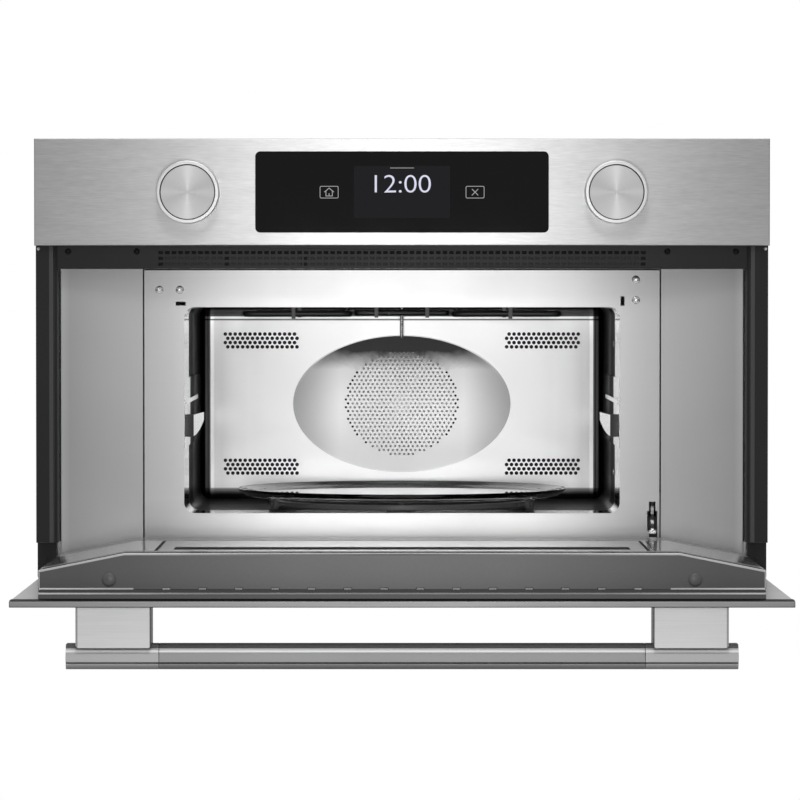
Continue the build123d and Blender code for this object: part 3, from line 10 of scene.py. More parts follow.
import bmesh
import bpy
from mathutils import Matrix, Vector


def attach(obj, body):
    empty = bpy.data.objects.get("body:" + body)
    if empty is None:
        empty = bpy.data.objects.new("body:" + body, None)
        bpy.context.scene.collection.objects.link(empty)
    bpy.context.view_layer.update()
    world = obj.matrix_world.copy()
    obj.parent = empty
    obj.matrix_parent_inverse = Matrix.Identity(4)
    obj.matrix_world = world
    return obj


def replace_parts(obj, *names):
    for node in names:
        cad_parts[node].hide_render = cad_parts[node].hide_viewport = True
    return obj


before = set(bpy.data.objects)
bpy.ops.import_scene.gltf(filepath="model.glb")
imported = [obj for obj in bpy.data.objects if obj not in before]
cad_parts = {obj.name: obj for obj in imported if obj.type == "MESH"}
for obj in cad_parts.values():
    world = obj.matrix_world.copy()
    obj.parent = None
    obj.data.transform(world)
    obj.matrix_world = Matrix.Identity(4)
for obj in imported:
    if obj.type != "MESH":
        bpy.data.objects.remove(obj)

Point = tuple[float, float, float]
Pair = tuple[float, float]
Socket = bpy.types.NodeSocket
Node = bpy.types.Node
Outputs = bpy.types.NodeOutputs
Group = bpy.types.NodeTree
Material = bpy.types.Material
Piece = bpy.types.Object

LOG = logging.getLogger("microwave")
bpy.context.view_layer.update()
MM = 0.001
FACE_Y = -279.0  # the panel's face, from which depths are counted
TABLE_Y = -24.0  # the turntable's axis
FORWARD: Point = (0.0, -1.0, 0.0)
DOWNWARD: Point = (0.0, 0.0, -1.0)
SIDES = (("left", -1), ("right", 1))


def at(x: float, depth: float, z: float) -> Point:
    """Scene position in metres of a point given in millimetres behind the panel's face."""
    return (x * MM, (FACE_Y + depth) * MM, z * MM)


def grey(level: float, blue: float | None = None) -> Point:
    """A grey, with a blue part of its own where it is not quite neutral."""
    return (level, level, level if blue is None else blue)


class Axis(Enum):
    """Direction along which a sheet was brushed, or along which a tone changes."""

    ACROSS = (1.0, 0.0, 0.0)
    DEPTH = (0.0, 1.0, 0.0)
    UP = (0.0, 0.0, 1.0)


class Body(Enum):
    """Bodies of the oven that carry pieces made here."""

    CHASSIS = "chassis"
    DOOR = "door"
    KNOB_LEFT = "knob_left"
    KNOB_RIGHT = "knob_right"


class Facing(Enum):
    """Direction in which a turned piece rises."""

    FRONT = "front"
    LEFT = "left"
    TOP = "top"


# Shader nodes


class Tree:
    """Short calls for adding and linking the nodes of one shader tree."""

    def __init__(self, tree: Group) -> None:
        """Keep the tree that the calls add to."""
        self.tree = tree

    def add(
        self, kind: str, inputs: dict[str | int, object] | None = None, **values: object
    ) -> Node:
        """Add a node, set its plain properties and feed its inputs.

        Args:
            kind: Blender's name of the node type, after "ShaderNode".
            inputs: a socket or a plain value for each input, by name or number.
            values: properties to set on the node.

        Returns:
            The new node.
        """
        node = self.tree.nodes.new("ShaderNode" + kind)
        for name, value in values.items():
            setattr(node, name, value)
        self.fill(node, inputs or {})
        return node

    def fill(self, node: Node, inputs: dict[str | int, object]) -> None:
        """Link a socket to, or set a plain value on, some inputs of a node.

        Args:
            node: the node.
            inputs: a socket or a plain value for each input, by name or number.
        """
        for name, source in inputs.items():
            target = node.inputs[name]
            if isinstance(source, Socket):
                self.tree.links.new(source, target)
            else:
                target.default_value = source

    def math(self, operation: str, first: object, second: object = 0.0) -> Socket:
        """Result of a Math node over two sockets or numbers."""
        return self.add("Math", {0: first, 1: second}, operation=operation).outputs[0]

    def vector(self, operation: str, *sources: object) -> Outputs:
        """Outputs of a Vector Math node over sockets or plain vectors."""
        return self.add("VectorMath", dict(enumerate(sources)), operation=operation).outputs

    def remap(self, value: Socket, source: Pair, target: Pair = (0.0, 1.0)) -> Socket:
        """Map a value from one range to another, clamped."""
        return self.add("MapRange", dict(enumerate((value, *source, *target)))).outputs[0]

    def place(self, scale: Point = (1.0, 1.0, 1.0)) -> Socket:
        """Object coordinates multiplied by a scale for each axis."""
        return self.vector("MULTIPLY", self.add("TexCoord").outputs["Object"], scale)[0]

    def parts(self, vector: Socket) -> Outputs:
        """X, Y and Z of a vector."""
        return self.add("SeparateXYZ", {0: vector}).outputs

    def normal(self) -> Socket:
        """Direction in which the surface faces."""
        return self.add("NewGeometry").outputs["Normal"]

    def noise(self, position: Socket, scale: float | Socket, detail: float) -> Socket:
        """Noise value over coordinates."""
        inputs = {"Vector": position, "Scale": scale, "Detail": detail}
        return self.add("TexNoise", inputs).outputs[0]

    def noise_along(self, distance: Socket, scale: float, detail: float) -> Socket:
        """Noise value that changes with one distance."""
        inputs = {"W": distance, "Scale": scale, "Detail": detail}
        return self.add("TexNoise", inputs, noise_dimensions="1D").outputs[0]

    def tinted(self, colour: Point, tone: Socket) -> Socket:
        """A colour multiplied by a tone that varies over the surface."""
        return self.add("VectorMath", {0: colour, "Scale": tone}, operation="SCALE").outputs[0]

    def mixed(self, share: object, first: object, second: object, kind: str = "RGBA") -> Socket:
        """Blend of two colours or vectors."""
        inputs = {"Factor": share, "A": first, "B": second}
        return self.add("Mix", inputs, data_type=kind).outputs["Result"]

    def ramp(self, share: Socket, stops: Sequence[Pair]) -> Socket:
        """Read a grey from a row of stops.

        Args:
            share: where it is read, from 0 to 1.
            stops: position and tone of each stop.

        Returns:
            The grey.
        """
        node = self.add("ValToRGB", {0: share})
        elements = node.color_ramp.elements
        while len(elements) < len(stops):
            elements.new(0.5)
        for element, (spot, tone) in zip(elements, stops):
            element.position = spot
            element.color = (tone, tone, tone, 1.0)
        return node.outputs[0]

    def bump(
        self, height: Socket, strength: float, step: float, normal: Socket | None = None
    ) -> Socket:
        """Raise the surface by a height.

        Args:
            height: the height.
            strength: share of the effect.
            step: millimetres that a height of 1 stands for.
            normal: normal of the surface before, where it is not its own.

        Returns:
            The normal of the raised surface.
        """
        inputs = {"Strength": strength, "Distance": step * MM, "Height": height}
        if normal is not None:
            inputs["Normal"] = normal
        return self.add("Bump", inputs).outputs[0]

    def effect(self, group: Group, position: Socket, inputs: dict[str, float]) -> Outputs:
        """Outputs of a shared group placed in this tree."""
        return self.add("Group", {"Position": position, **inputs}, node_tree=group).outputs

    def marks(self, scale: float, amount: float) -> Outputs:
        """Shift and tone of handling marks all over the surface."""
        inputs = {"Scale": scale, "Amount": amount}
        return self.effect(EFFECTS.marks, self.place(), inputs)


def new_group(
    name: str, inputs: dict[str, float], outputs: Sequence[str]
) -> tuple[Tree, Outputs, Node]:
    """Start a shader node group with number inputs and outputs.

    Args:
        name: the group's name.
        inputs: each number input and its default; "Position" is added before them.
        outputs: names of the number outputs.

    Returns:
        The group's helper, what comes in, and its output node.
    """
    group = bpy.data.node_groups.new(name, "ShaderNodeTree")
    face = group.interface
    face.new_socket("Position", in_out="INPUT", socket_type="NodeSocketVector")
    for label, default in inputs.items():
        socket = face.new_socket(label, in_out="INPUT", socket_type="NodeSocketFloat")
        socket.default_value = default
    for label in outputs:
        face.new_socket(label, in_out="OUTPUT", socket_type="NodeSocketFloat")
    given = group.nodes.new("NodeGroupInput").outputs
    return Tree(group), given, group.nodes.new("NodeGroupOutput")


def brushed_grain() -> Group:
    """Make the group of long fine lines for brushed sheet; its Position comes stretched.

    Returns:
        The group.
    """
    tree, given, result = new_group("Brushed grain", {"Contrast": 0.05}, ("Tone", "Height"))
    fine = tree.math("MULTIPLY", tree.noise(given["Position"], 1.0, 3.0), 0.7)
    broad = tree.math("MULTIPLY", tree.noise(given["Position"], 0.23, 1.0), 0.3)
    both = tree.math("ADD", fine, broad)
    swing = tree.math("MULTIPLY", tree.math("SUBTRACT", both, 0.5), given["Contrast"])
    tree.fill(result, {"Tone": tree.math("ADD", swing, 1.0), "Height": both})
    return tree.tree


def handling_marks() -> Group:
    """Make the group of soft cloudy patches that shift a roughness and a tone a little.

    Returns:
        The group.
    """
    defaults = {"Scale": 12.0, "Amount": 0.05}
    tree, given, result = new_group("Handling marks", defaults, ("Shift", "Tone"))
    clouds = tree.noise(given["Position"], given["Scale"], 4.0)
    shift = tree.math("MULTIPLY", tree.math("SUBTRACT", clouds, 0.5), given["Amount"])
    tree.fill(result, {"Shift": shift, "Tone": tree.math("SUBTRACT", 1.0, shift)})
    return tree.tree


def moulded_texture() -> Group:
    """Make the group of small pits, as on moulded plastic or powder paint.

    Returns:
        The group.
    """
    tree, given, result = new_group("Moulded texture", {"Scale": 1500.0}, ("Height", "Tone"))
    inputs = {"Vector": given["Position"], "Scale": given["Scale"]}
    pits = tree.add("TexVoronoi", inputs).outputs["Distance"]
    tree.fill(result, {"Height": pits, "Tone": tree.remap(pits, (0.0, 0.8), (0.94, 1.06))})
    return tree.tree


def settled_dust() -> Group:
    """Make the group of dust that is strongest on upward faces, broken up by noise.

    Returns:
        The group.
    """
    tree, given, result = new_group("Settled dust", {"Amount": 0.1}, ("Mask",))
    level = tree.remap(tree.parts(tree.normal())[2], (0.35, 1.0))
    patches = tree.remap(tree.noise(given["Position"], 60.0, 4.0), (0.4, 0.7), (0.2, 1.0))
    mask = tree.math("MULTIPLY", tree.math("MULTIPLY", level, patches), given["Amount"])
    tree.fill(result, {"Mask": mask})
    return tree.tree


@dataclass
class SharedEffects:
    """The node groups that several finishes use."""

    grain: Group = field(default_factory=brushed_grain)
    marks: Group = field(default_factory=handling_marks)
    moulded: Group = field(default_factory=moulded_texture)
    dust: Group = field(default_factory=settled_dust)


EFFECTS = SharedEffects()


# Tones


def facing_share(tree: Tree, direction: Point, limits: Pair) -> Socket:
    """Share from 0 to 1 by which a surface faces along a direction of the object.

    Args:
        tree: the material's tree.
        direction: unit direction on the object.
        limits: cosines at which the share is 0 and 1.

    Returns:
        The share.
    """
    spaces = {"vector_type": "NORMAL", "convert_from": "WORLD", "convert_to": "OBJECT"}
    normal = tree.add("VectorTransform", {0: tree.normal()}, **spaces).outputs[0]
    return tree.remap(tree.vector("DOT_PRODUCT", normal, direction)["Value"], limits)


@dataclass(frozen=True)
class PaintedFacingLight:
    """Painted light by facing: a tone that lightens or shades the faces that turn away from, or
    towards, a direction of the object.
    """

    direction: Point
    level: float
    limits: Pair = (0.97, 0.82)

    def tone(self, tree: Tree) -> Socket:
        """The painted light's tone, 1 where the faces do not turn."""
        share = facing_share(tree, self.direction, self.limits)
        return tree.remap(share, (0.0, 1.0), (1.0, self.level))


@dataclass(frozen=True)
class Bands:
    """Tone given at places in millimetres along one axis, or out from an upright line."""

    axis: Axis
    stops: tuple[Pair, ...]
    mirrored: bool = False
    around: Point | None = None

    def tone(self, tree: Tree) -> Socket:
        """Add the nodes that read the tone at a place.

        Args:
            tree: the material's tree.

        Returns:
            The tone.
        """
        if self.around is None:
            place = tree.parts(tree.place())[self.axis.value.index(1.0)]
        else:
            shift = tuple(-part * MM for part in self.around)
            level = tree.vector("MULTIPLY_ADD", tree.place(), (1.0, 1.0, 0.0), shift)[0]
            place = tree.vector("LENGTH", level)["Value"]
        if self.mirrored:
            place = tree.math("ABSOLUTE", place)
        first, last = self.stops[0][0], self.stops[-1][0]
        share = tree.remap(place, (first * MM, last * MM))
        stops = [((spot - first) / (last - first), tone) for spot, tone in self.stops]
        return tree.ramp(share, stops)


Tones = tuple[PaintedFacingLight | Bands, ...]


def toned(tree: Tree, tone: Socket, tones: Tones) -> Socket:
    """Multiply a tone by the painted light of turned faces and by bands.

    Args:
        tree: the material's tree.
        tone: the tone so far.
        tones: what it is multiplied by.

    Returns:
        The product.
    """
    for part in tones:
        tone = tree.math("MULTIPLY", tone, part.tone(tree))
    return tone


def across(*stops: Pair) -> Bands:
    """Bands that are the same on both sides of the middle."""
    return Bands(Axis.ACROSS, stops, mirrored=True)


def upward(*stops: Pair) -> Bands:
    """Bands from low to high."""
    return Bands(Axis.UP, stops)


def inward(*stops: Pair) -> Bands:
    """Bands from the front to the back."""
    return Bands(Axis.DEPTH, stops)


# Finishes


@dataclass(frozen=True)
class Finish(ABC):
    """A material that is made from a few named values."""

    name: str

    @abstractmethod
    def inputs(self, tree: Tree) -> dict[str, object]:
        """What each input of the shader gets, given by every kind of finish."""

    def build(self) -> Material:
        """Make the material.

        Returns:
            The material, ready to put on a piece.
        """
        material = bpy.data.materials.new(self.name)
        material.use_nodes = True
        tree = Tree(material.node_tree)
        tree.fill(material.node_tree.nodes["Principled BSDF"], self.inputs(tree))
        return material


@dataclass(frozen=True)
class BrushedSteel(Finish):
    """Stainless sheet with fine lines along one direction."""

    colour: Point = grey(0.60, 0.605)
    roughness: float = 0.3
    along: Axis = Axis.ACROSS
    line_length: float = 60.0
    line_pitch: float = 1.1
    contrast: float = 0.12
    grain_depth: float = 0.02
    anisotropy: float = 0.5
    cloud: float = 0.05
    flatten: float = 0.0
    tones: Tones = ()

    def inputs(self, tree: Tree) -> dict[str, object]:
        """Wire the lines, the marks and the direction of the brushing.

        Args:
            tree: the material's tree.

        Returns:
            What each input of the shader gets.
        """
        run, thin = 1.0 / (self.line_length * MM), 1.0 / (self.line_pitch * MM)
        stretch = tuple(run if part else thin for part in self.along.value)
        lines = tree.effect(EFFECTS.grain, tree.place(stretch), {"Contrast": self.contrast})
        marks = tree.marks(9.0, self.cloud)
        tone = toned(tree, tree.math("MULTIPLY", lines["Tone"], marks["Tone"]), self.tones)
        evened = None
        if self.flatten > 0:
            level = tree.mixed(self.flatten, tree.normal(), FORWARD, "VECTOR")
            evened = tree.vector("NORMALIZE", level)[0]
        wired = {
            "Metallic": 1.0,
            "Anisotropic": self.anisotropy,
            "Base Color": tree.tinted(self.colour, tone),
            "Roughness": tree.math("ADD", marks["Shift"], self.roughness),
            "Normal": tree.bump(lines["Height"], 0.3, self.grain_depth, evened),
        }
        if self.anisotropy > 0:
            sideways = tree.vector("CROSS_PRODUCT", tree.normal(), self.along.value)
            wired["Tangent"] = sideways[0]
        return wired


@dataclass(frozen=True)
class SpunSteel(Finish):
    """Lathe-turned metal disc whose lines run round the knob's axis, with four painted highlight
    rays.
    """

    colour: Point = grey(0.67, 0.675)
    roughness: float = 0.5
    anisotropy: float = 0.5
    ring_pitch: float = 0.5
    disc_size: float = 64.0
    contrast: float = 0.05
    painted_highlight_gain: float = 0.16
    painted_highlight_sharpness: float = 9.0

    def inputs(self, tree: Tree) -> dict[str, object]:
        """Wire the rings and the four painted highlight rays.

        Args:
            tree: the material's tree.

        Returns:
            What each input of the shader gets.
        """
        offset = tree.vector(
            "SUBTRACT", tree.add("TexCoord").outputs["Generated"], (0.5, 0.5, 0.5)
        )[0]
        radius = tree.vector("LENGTH", offset)["Value"]
        rings = tree.noise_along(radius, self.disc_size / self.ring_pitch, 2.0)
        half = self.contrast / 2
        tone = tree.remap(rings, (0.3, 0.7), (1 - half, 1 + half))
        parts = tree.parts(offset)
        # painted highlight: four bright rays that turn with the disc
        angle = tree.math("ARCTAN2", parts[2], parts[0])
        wave = tree.math("ABSOLUTE", tree.math("COSINE", tree.math("MULTIPLY", angle, 2.0)))
        rays = tree.math("POWER", wave, self.painted_highlight_sharpness)
        lift = tree.math("ADD", tree.math("MULTIPLY", rays, self.painted_highlight_gain), 1.0)
        return {
            "Metallic": 1.0,
            "Roughness": self.roughness,
            "Anisotropic": self.anisotropy,
            "Anisotropic Rotation": 0.25,
            "Tangent": tree.add("Tangent", direction_type="RADIAL", axis="Y").outputs[0],
            "Base Color": tree.tinted(self.colour, tree.math("MULTIPLY", tone, lift)),
        }


@dataclass(frozen=True)
class CoatedSheet(Finish):
    """Zinc-coated sheet with faint waves."""

    colour: Point = (0.56, 0.57, 0.58)
    roughness: float = 0.38
    wave_scale: Point = (6.0, 6.0, 6.0)
    wave_height: float = 0.02
    cloud: float = 0.04

    def inputs(self, tree: Tree) -> dict[str, object]:
        """Wire the waves and the marks.

        Args:
            tree: the material's tree.

        Returns:
            What each input of the shader gets.
        """
        marks = tree.marks(14.0, self.cloud)
        waves = tree.noise(tree.place(self.wave_scale), 1.0, 1.0)
        return {
            "Metallic": 1.0,
            "Base Color": tree.tinted(self.colour, marks["Tone"]),
            "Roughness": tree.math("ADD", marks["Shift"], self.roughness),
            "Normal": tree.bump(waves, 1.0, self.wave_height),
        }


@dataclass(frozen=True)
class PaintedReflectionSteel(Finish):
    """Polished cavity sheet with painted light: bright near the opening, painted shade with painted
    reflection streaks deeper in.
    """

    colour: Point = grey(0.97)
    roughness: float = 0.12
    # painted light by depth: bright near the opening, painted shade deeper in
    depths: Bands = inward(
        (-224, 1), (-98, 1), (-88, 0.08), (-61, 0.08), (-23, 0.06), (0, 0.14), (24, 0.24),
        (60, 0.2), (95, 0.17), (140, 0.12), (170, 0.1), (190, 0.16),
    )
    ceiling: float = 276.0
    ground: float = 66.0
    ground_tone: float = 0.2
    raised: float = 0.0
    line_pitch: float = 9.0
    painted_streak_contrast: float = 0.85

    def inputs(self, tree: Tree) -> dict[str, object]:
        """Wire the painted light and the painted reflection streaks; where it is dark it is no
        metal.

        Args:
            tree: the material's tree.

        Returns:
            What each input of the shader gets.
        """
        x, y, z = tree.parts(tree.place())
        # painted light: full brightness above the ceiling line, a painted floor tone below the
        # ground line, full brightness within raised of the middle
        roof = tree.remap(z, (self.ceiling * MM, (self.ceiling + 2.0) * MM))
        underfoot = (self.ground * MM, (self.ground + 2.0) * MM)
        floor = tree.remap(z, underfoot, (self.ground_tone, 0.0))
        level = tree.math("MAXIMUM", self.depths.tone(tree), tree.math("MAXIMUM", roof, floor))
        if self.raised > 0:
            edge = (self.raised * MM, (self.raised + 0.5) * MM)
            near = tree.remap(tree.math("ABSOLUTE", x), edge, (1.0, 0.0))
            level = tree.math("MAXIMUM", level, near)
        # painted reflection streaks across the depth, strongest where the sheet is dark; the same
        # noise gives a small bump
        lines = tree.noise_along(y, 1.0 / (self.line_pitch * MM), 3.0)
        half = self.painted_streak_contrast / 2
        painted_streak = tree.remap(lines, (0.3, 0.7), (1 - half, 1 + half))
        soft = tree.math("POWER", painted_streak, tree.math("SUBTRACT", 1.0, level))
        marks = tree.marks(14.0, 0.04)
        tone = tree.math("MULTIPLY", tree.math("MULTIPLY", level, soft), marks["Tone"])
        return {
            "Metallic": tree.math("MINIMUM", tone, 1.0),
            "Base Color": tree.tinted(self.colour, tone),
            "Specular IOR Level": 0.0,
            "Roughness": tree.math("ADD", marks["Shift"], self.roughness),
            "Normal": tree.bump(lines, 0.5, 0.1),
        }


@dataclass(frozen=True)
class Painted(Finish):
    """Powder paint or moulded plastic with a fine texture and a little dust."""

    colour: Point
    roughness: float = 0.5
    texture_scale: float = 1400.0
    texture_depth: float = 0.02
    metallic: float = 0.0
    coat: float = 0.0
    dust: float = 0.04
    dust_colour: tuple[float, ...] = (0.5, 0.49, 0.47, 1.0)
    cloud: float = 0.06
    specular: float = 0.5
    tones: Tones = ()

    def inputs(self, tree: Tree) -> dict[str, object]:
        """Wire the pits, the marks and the dust.

        Args:
            tree: the material's tree.

        Returns:
            What each input of the shader gets.
        """
        pits = tree.effect(EFFECTS.moulded, tree.place(), {"Scale": self.texture_scale})
        marks = tree.marks(11.0, self.cloud)
        dust = tree.effect(EFFECTS.dust, tree.place(), {"Amount": self.dust})["Mask"]
        tone = toned(tree, tree.math("MULTIPLY", pits["Tone"], marks["Tone"]), self.tones)
        return {
            "Metallic": self.metallic,
            "Coat Weight": self.coat,
            "Specular IOR Level": self.specular,
            "Base Color": tree.mixed(dust, tree.tinted(self.colour, tone), self.dust_colour),
            "Roughness": tree.math("ADD", marks["Shift"], self.roughness),
            "Normal": tree.bump(pits["Height"], 0.4, self.texture_depth),
        }


@dataclass(frozen=True)
class PaintedEdge(Finish):
    """Sheet that is painted on most faces and has a lighter, polished copy on the faces along one
    direction: painted light by facing.
    """

    paint: Point
    steel: Point
    direction: Point
    limits: Pair = (0.15, 0.3)
    paint_roughness: float = 0.33
    steel_roughness: float = 0.14
    steel_tones: Tones = ()
    paint_tones: Tones = ()

    def inputs(self, tree: Tree) -> dict[str, object]:
        """Wire paint and steel; where the steel is dark it is no metal.

        Args:
            tree: the material's tree.

        Returns:
            What each input of the shader gets.
        """
        # painted light by facing: the share gives the faces along the direction the lighter polished
        # copy
        share = facing_share(tree, self.direction, self.limits)
        pits = tree.effect(EFFECTS.moulded, tree.place(), {"Scale": 1400.0})
        marks = tree.marks(11.0, 0.05)
        paint = tree.math("MULTIPLY", pits["Tone"], marks["Tone"])
        paint = tree.tinted(self.paint, toned(tree, paint, self.paint_tones))
        steel = tree.tinted(self.steel, toned(tree, marks["Tone"], self.steel_tones))
        rough = tree.remap(share, (0.0, 1.0), (self.paint_roughness, self.steel_roughness))
        return {
            "Base Color": tree.mixed(share, paint, steel),
            "Metallic": toned(tree, share, self.steel_tones),
            "Specular IOR Level": 0.0,
            "Roughness": tree.math("ADD", rough, marks["Shift"]),
            "Normal": tree.bump(pits["Height"], 0.2, 0.01),
        }


@dataclass(frozen=True)
class Glass(Finish):
    """Clear or tinted sheet glass."""

    colour: Point = (0.94, 0.955, 0.95)
    roughness: float = 0.01
    painted_reflection: Bands | None = None

    def inputs(self, tree: Tree) -> dict[str, object]:
        """Wire the smears and, where it has one, the pattern of the painted reflection.

        Args:
            tree: the material's tree.

        Returns:
            What each input of the shader gets.
        """
        smear = tree.math("ADD", tree.marks(20.0, 0.03)["Shift"], self.roughness)
        wired = {
            "Base Color": (*self.colour, 1.0),
            "Transmission Weight": 1.0,
            "IOR": 1.5,
            "Roughness": tree.math("MAXIMUM", smear, 0.0),
        }
        if self.painted_reflection is not None:
            wired["Specular IOR Level"] = self.painted_reflection.tone(tree)
        return wired


@dataclass(frozen=True)
class BackPrintedGlass(Finish):
    """Opaque glass printed from behind: a flat colour under a clear gloss."""

    colour: Point = grey(0.0145, 0.0148)

    def inputs(self, tree: Tree) -> dict[str, object]:
        """Wire the smears.

        Args:
            tree: the material's tree.

        Returns:
            What each input of the shader gets.
        """
        marks = tree.marks(25.0, 0.04)
        return {
            "Base Color": tree.tinted(self.colour, marks["Tone"]),
            "Roughness": tree.math("MAXIMUM", tree.math("ADD", marks["Shift"], 0.04), 0.02),
            "Specular IOR Level": 0.3,
        }


@dataclass(frozen=True)
class Lit(Finish):
    """Part of the display that glows."""

    colour: Point
    strength: float = 1.0

    def inputs(self, tree: Tree) -> dict[str, object]:
        """Wire the glow.

        Args:
            tree: the material's tree.

        Returns:
            What each input of the shader gets.
        """
        tone = tree.remap(tree.noise(tree.place(), 300.0, 1.0), (0.3, 0.7), (0.97, 1.03))
        return {
            "Base Color": (0.004, 0.004, 0.005, 1.0),
            "Roughness": 0.03,
            "Specular IOR Level": 0.3,
            "Emission Color": tree.tinted(self.colour, tone),
            "Emission Strength": self.strength,
        }


def dress(finish: Finish, *nodes: str) -> None:
    """Put one finish on CAD nodes.

    Args:
        finish: the finish to build.
        nodes: names of the nodes.
    """
    material = finish.build()
    for name in nodes:
        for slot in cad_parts[name].material_slots:
            slot.material = material
        LOG.info("dressed %s in %s", name, finish.name)


def soften_edges(node: str, width: float, segments: int = 2) -> None:
    """Round the sharp edges of a CAD node a little, as folded or moulded pieces have them.

    Args:
        node: name of the node.
        width: width of the rounding in millimetres.
        segments: number of facets across the rounding.
    """
    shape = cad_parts[node]
    weld = shape.modifiers.new("Joined faces", "WELD")
    weld.merge_threshold = 0.01 * MM
    bevel = shape.modifiers.new("Rounded edges", "BEVEL")
    bevel.width = width * MM
    bevel.segments = segments
    bevel.limit_method = "ANGLE"
    bevel.angle_limit = math.radians(40)
    bevel.harden_normals = True


# Meshes


def new_piece(
    name: str,
    vertices: Sequence[Point],
    faces: Sequence[Sequence[int]],
    material: Material,
    smooth_angle: float = 30.0,
) -> Piece:
    """Make a mesh object.

    Args:
        name: the piece's name.
        vertices: corners in metres.
        faces: corner numbers of each face.
        material: its material.
        smooth_angle: edges below this angle in degrees are shaded smooth.

    Returns:
        The new object, linked into the scene.
    """
    mesh = bpy.data.meshes.new(name)
    mesh.from_pydata(vertices, [], faces)
    mesh.validate()
    work = bmesh.new()
    work.from_mesh(mesh)
    bmesh.ops.recalc_face_normals(work, faces=work.faces)
    for face in work.faces:
        face.smooth = True
    limit = math.radians(smooth_angle)
    for edge in work.edges:
        if len(edge.link_faces) == 2 and edge.calc_face_angle(0.0) > limit:
            edge.smooth = False
    work.to_mesh(mesh)
    work.free()
    mesh.materials.append(material)
    piece = bpy.data.objects.new(name, mesh)
    bpy.context.scene.collection.objects.link(piece)
    return piece


@dataclass(frozen=True)
class Spot:
    """Foot of a turned piece's axis, in millimetres, and where the axis points."""

    x: float
    depth: float
    z: float
    facing: Facing = Facing.FRONT

    def point(self, side: float, up: float, rise: float) -> Point:
        """Scene position of a point of the piece.

        Args:
            side: first distance from the axis.
            up: second distance from the axis.
            rise: distance along the axis.

        Returns:
            The position.
        """
        x, depth, z = {
            Facing.FRONT: (side, -rise, up),
            Facing.LEFT: (-rise, side, up),
            Facing.TOP: (side, up, rise),
        }[self.facing]
        return at(self.x + x, self.depth + depth, self.z + z)


def turn(
    name: str,
    profile: Sequence[Pair],
    spot: Spot,
    material: Material,
    steps: int,
    smooth_angle: float = 30.0,
) -> Piece:
    """Turn a profile about an axis.

    Args:
        name: the piece's name.
        profile: radius and height of each point, from one end on the axis to the other.
        spot: where the piece sits.
        material: its material.
        steps: number of segments round the axis.
        smooth_angle: edges below this angle in degrees are shaded smooth.

    Returns:
        The new object.
    """
    vertices: list[Point] = []
    rings: list[list[int]] = []
    for radius, height in profile:
        count = steps if radius > 0 else 1
        rings.append([len(vertices) + step for step in range(count)])
        for step in range(count):
            angle = 2 * math.pi * step / steps
            vertices.append(
                spot.point(radius * math.cos(angle), radius * math.sin(angle), height)
            )
    faces = []
    for low, high in zip(rings, rings[1:]):
        for step in range(steps):
            after = (step + 1) % steps
            corners = (
                low[step % len(low)],
                high[step % len(high)],
                high[after % len(high)],
                low[after % len(low)],
            )
            faces.append(list(dict.fromkeys(corners)))
    return new_piece(name, vertices, faces, material, smooth_angle)


def flat_outline(
    name: str,
    outline: Sequence[Pair],
    depths: Pair,
    material: Material,
    hole: Sequence[Pair] | None = None,
) -> Piece:
    """Make a thin flat piece that faces the front.

    Args:
        name: the piece's name.
        outline: X and Z of each corner in millimetres.
        depths: depth of its front and of its back.
        material: its material.
        hole: X and Z of each corner of a hole with as many corners as the outline.

    Returns:
        The new object.
    """
    front, back = depths
    count = len(outline)
    loops = [(outline, front), (outline, back)]
    walls = [(0, 1)]
    faces = []
    if hole is None:
        faces += [list(range(count)), list(range(2 * count - 1, count - 1, -1))]
    else:
        loops += [(hole, back), (hole, front)]
        walls += [(1, 2), (2, 3), (3, 0)]
    vertices = [at(x, depth, z) for loop, depth in loops for x, z in loop]
    for low, high in walls:
        for i in range(count):
            j = (i + 1) % count
            faces.append([low * count + i, low * count + j, high * count + j, high * count + i])
    return new_piece(name, vertices, faces, material)


def rounded_rectangle(
    centre: Pair, width: float, height: float, radius: float, steps: int = 6
) -> list[Pair]:
    """Corners of a rectangle with rounded corners.

    Args:
        centre: X and Z of its centre.
        width: its width.
        height: its height.
        radius: corner radius.
        steps: segments in each corner.

    Returns:
        X and Z of each corner.
    """
    points = []
    for side, up, start in ((1, 1, 0), (-1, 1, 90), (-1, -1, 180), (1, -1, 270)):
        x = centre[0] + side * (width / 2 - radius)
        z = centre[1] + up * (height / 2 - radius)
        for step in range(steps + 1):
            angle = math.radians(start + 90 * step / steps)
            points.append((x + radius * math.cos(angle), z + radius * math.sin(angle)))
    return points


def place_on(piece: Piece, body: Body) -> Piece:
    """Let a piece ride on a body."""
    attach(piece, body.value)
    LOG.info("made %s on %s", piece.name, body.value)
    return piece


@dataclass(frozen=True)
class Strips:
    """Thin strips of one material that ride on one body."""

    body: Body
    slot: str
    material: Material
    rounding: float = 0.2

    def lay(self, name: str, ends: Pair, depths: Pair, heights: Pair) -> None:
        """Make a strip with rounded corners as seen from the front.

        Args:
            name: the piece's name.
            ends: its two ends in X.
            depths: depth of its front and of its back.
            heights: its bottom and top.
        """
        left, right = sorted(ends)
        width, height = right - left, heights[1] - heights[0]
        centre = ((left + right) / 2, sum(heights) / 2)
        radius = min(width, height) * self.rounding
        outline = rounded_rectangle(centre, width, height, radius, 3)
        place_on(flat_outline(name, outline, depths, self.material), self.body)

    def mirror(self, name: str, ends: Pair, depths: Pair, heights: Pair) -> None:
        """Make a strip on the left and its twin on the right, named after their sides."""
        for side_name, side in SIDES:
            self.lay(name + side_name, (side * ends[0], side * ends[1]), depths, heights)


# Sub-assemblies


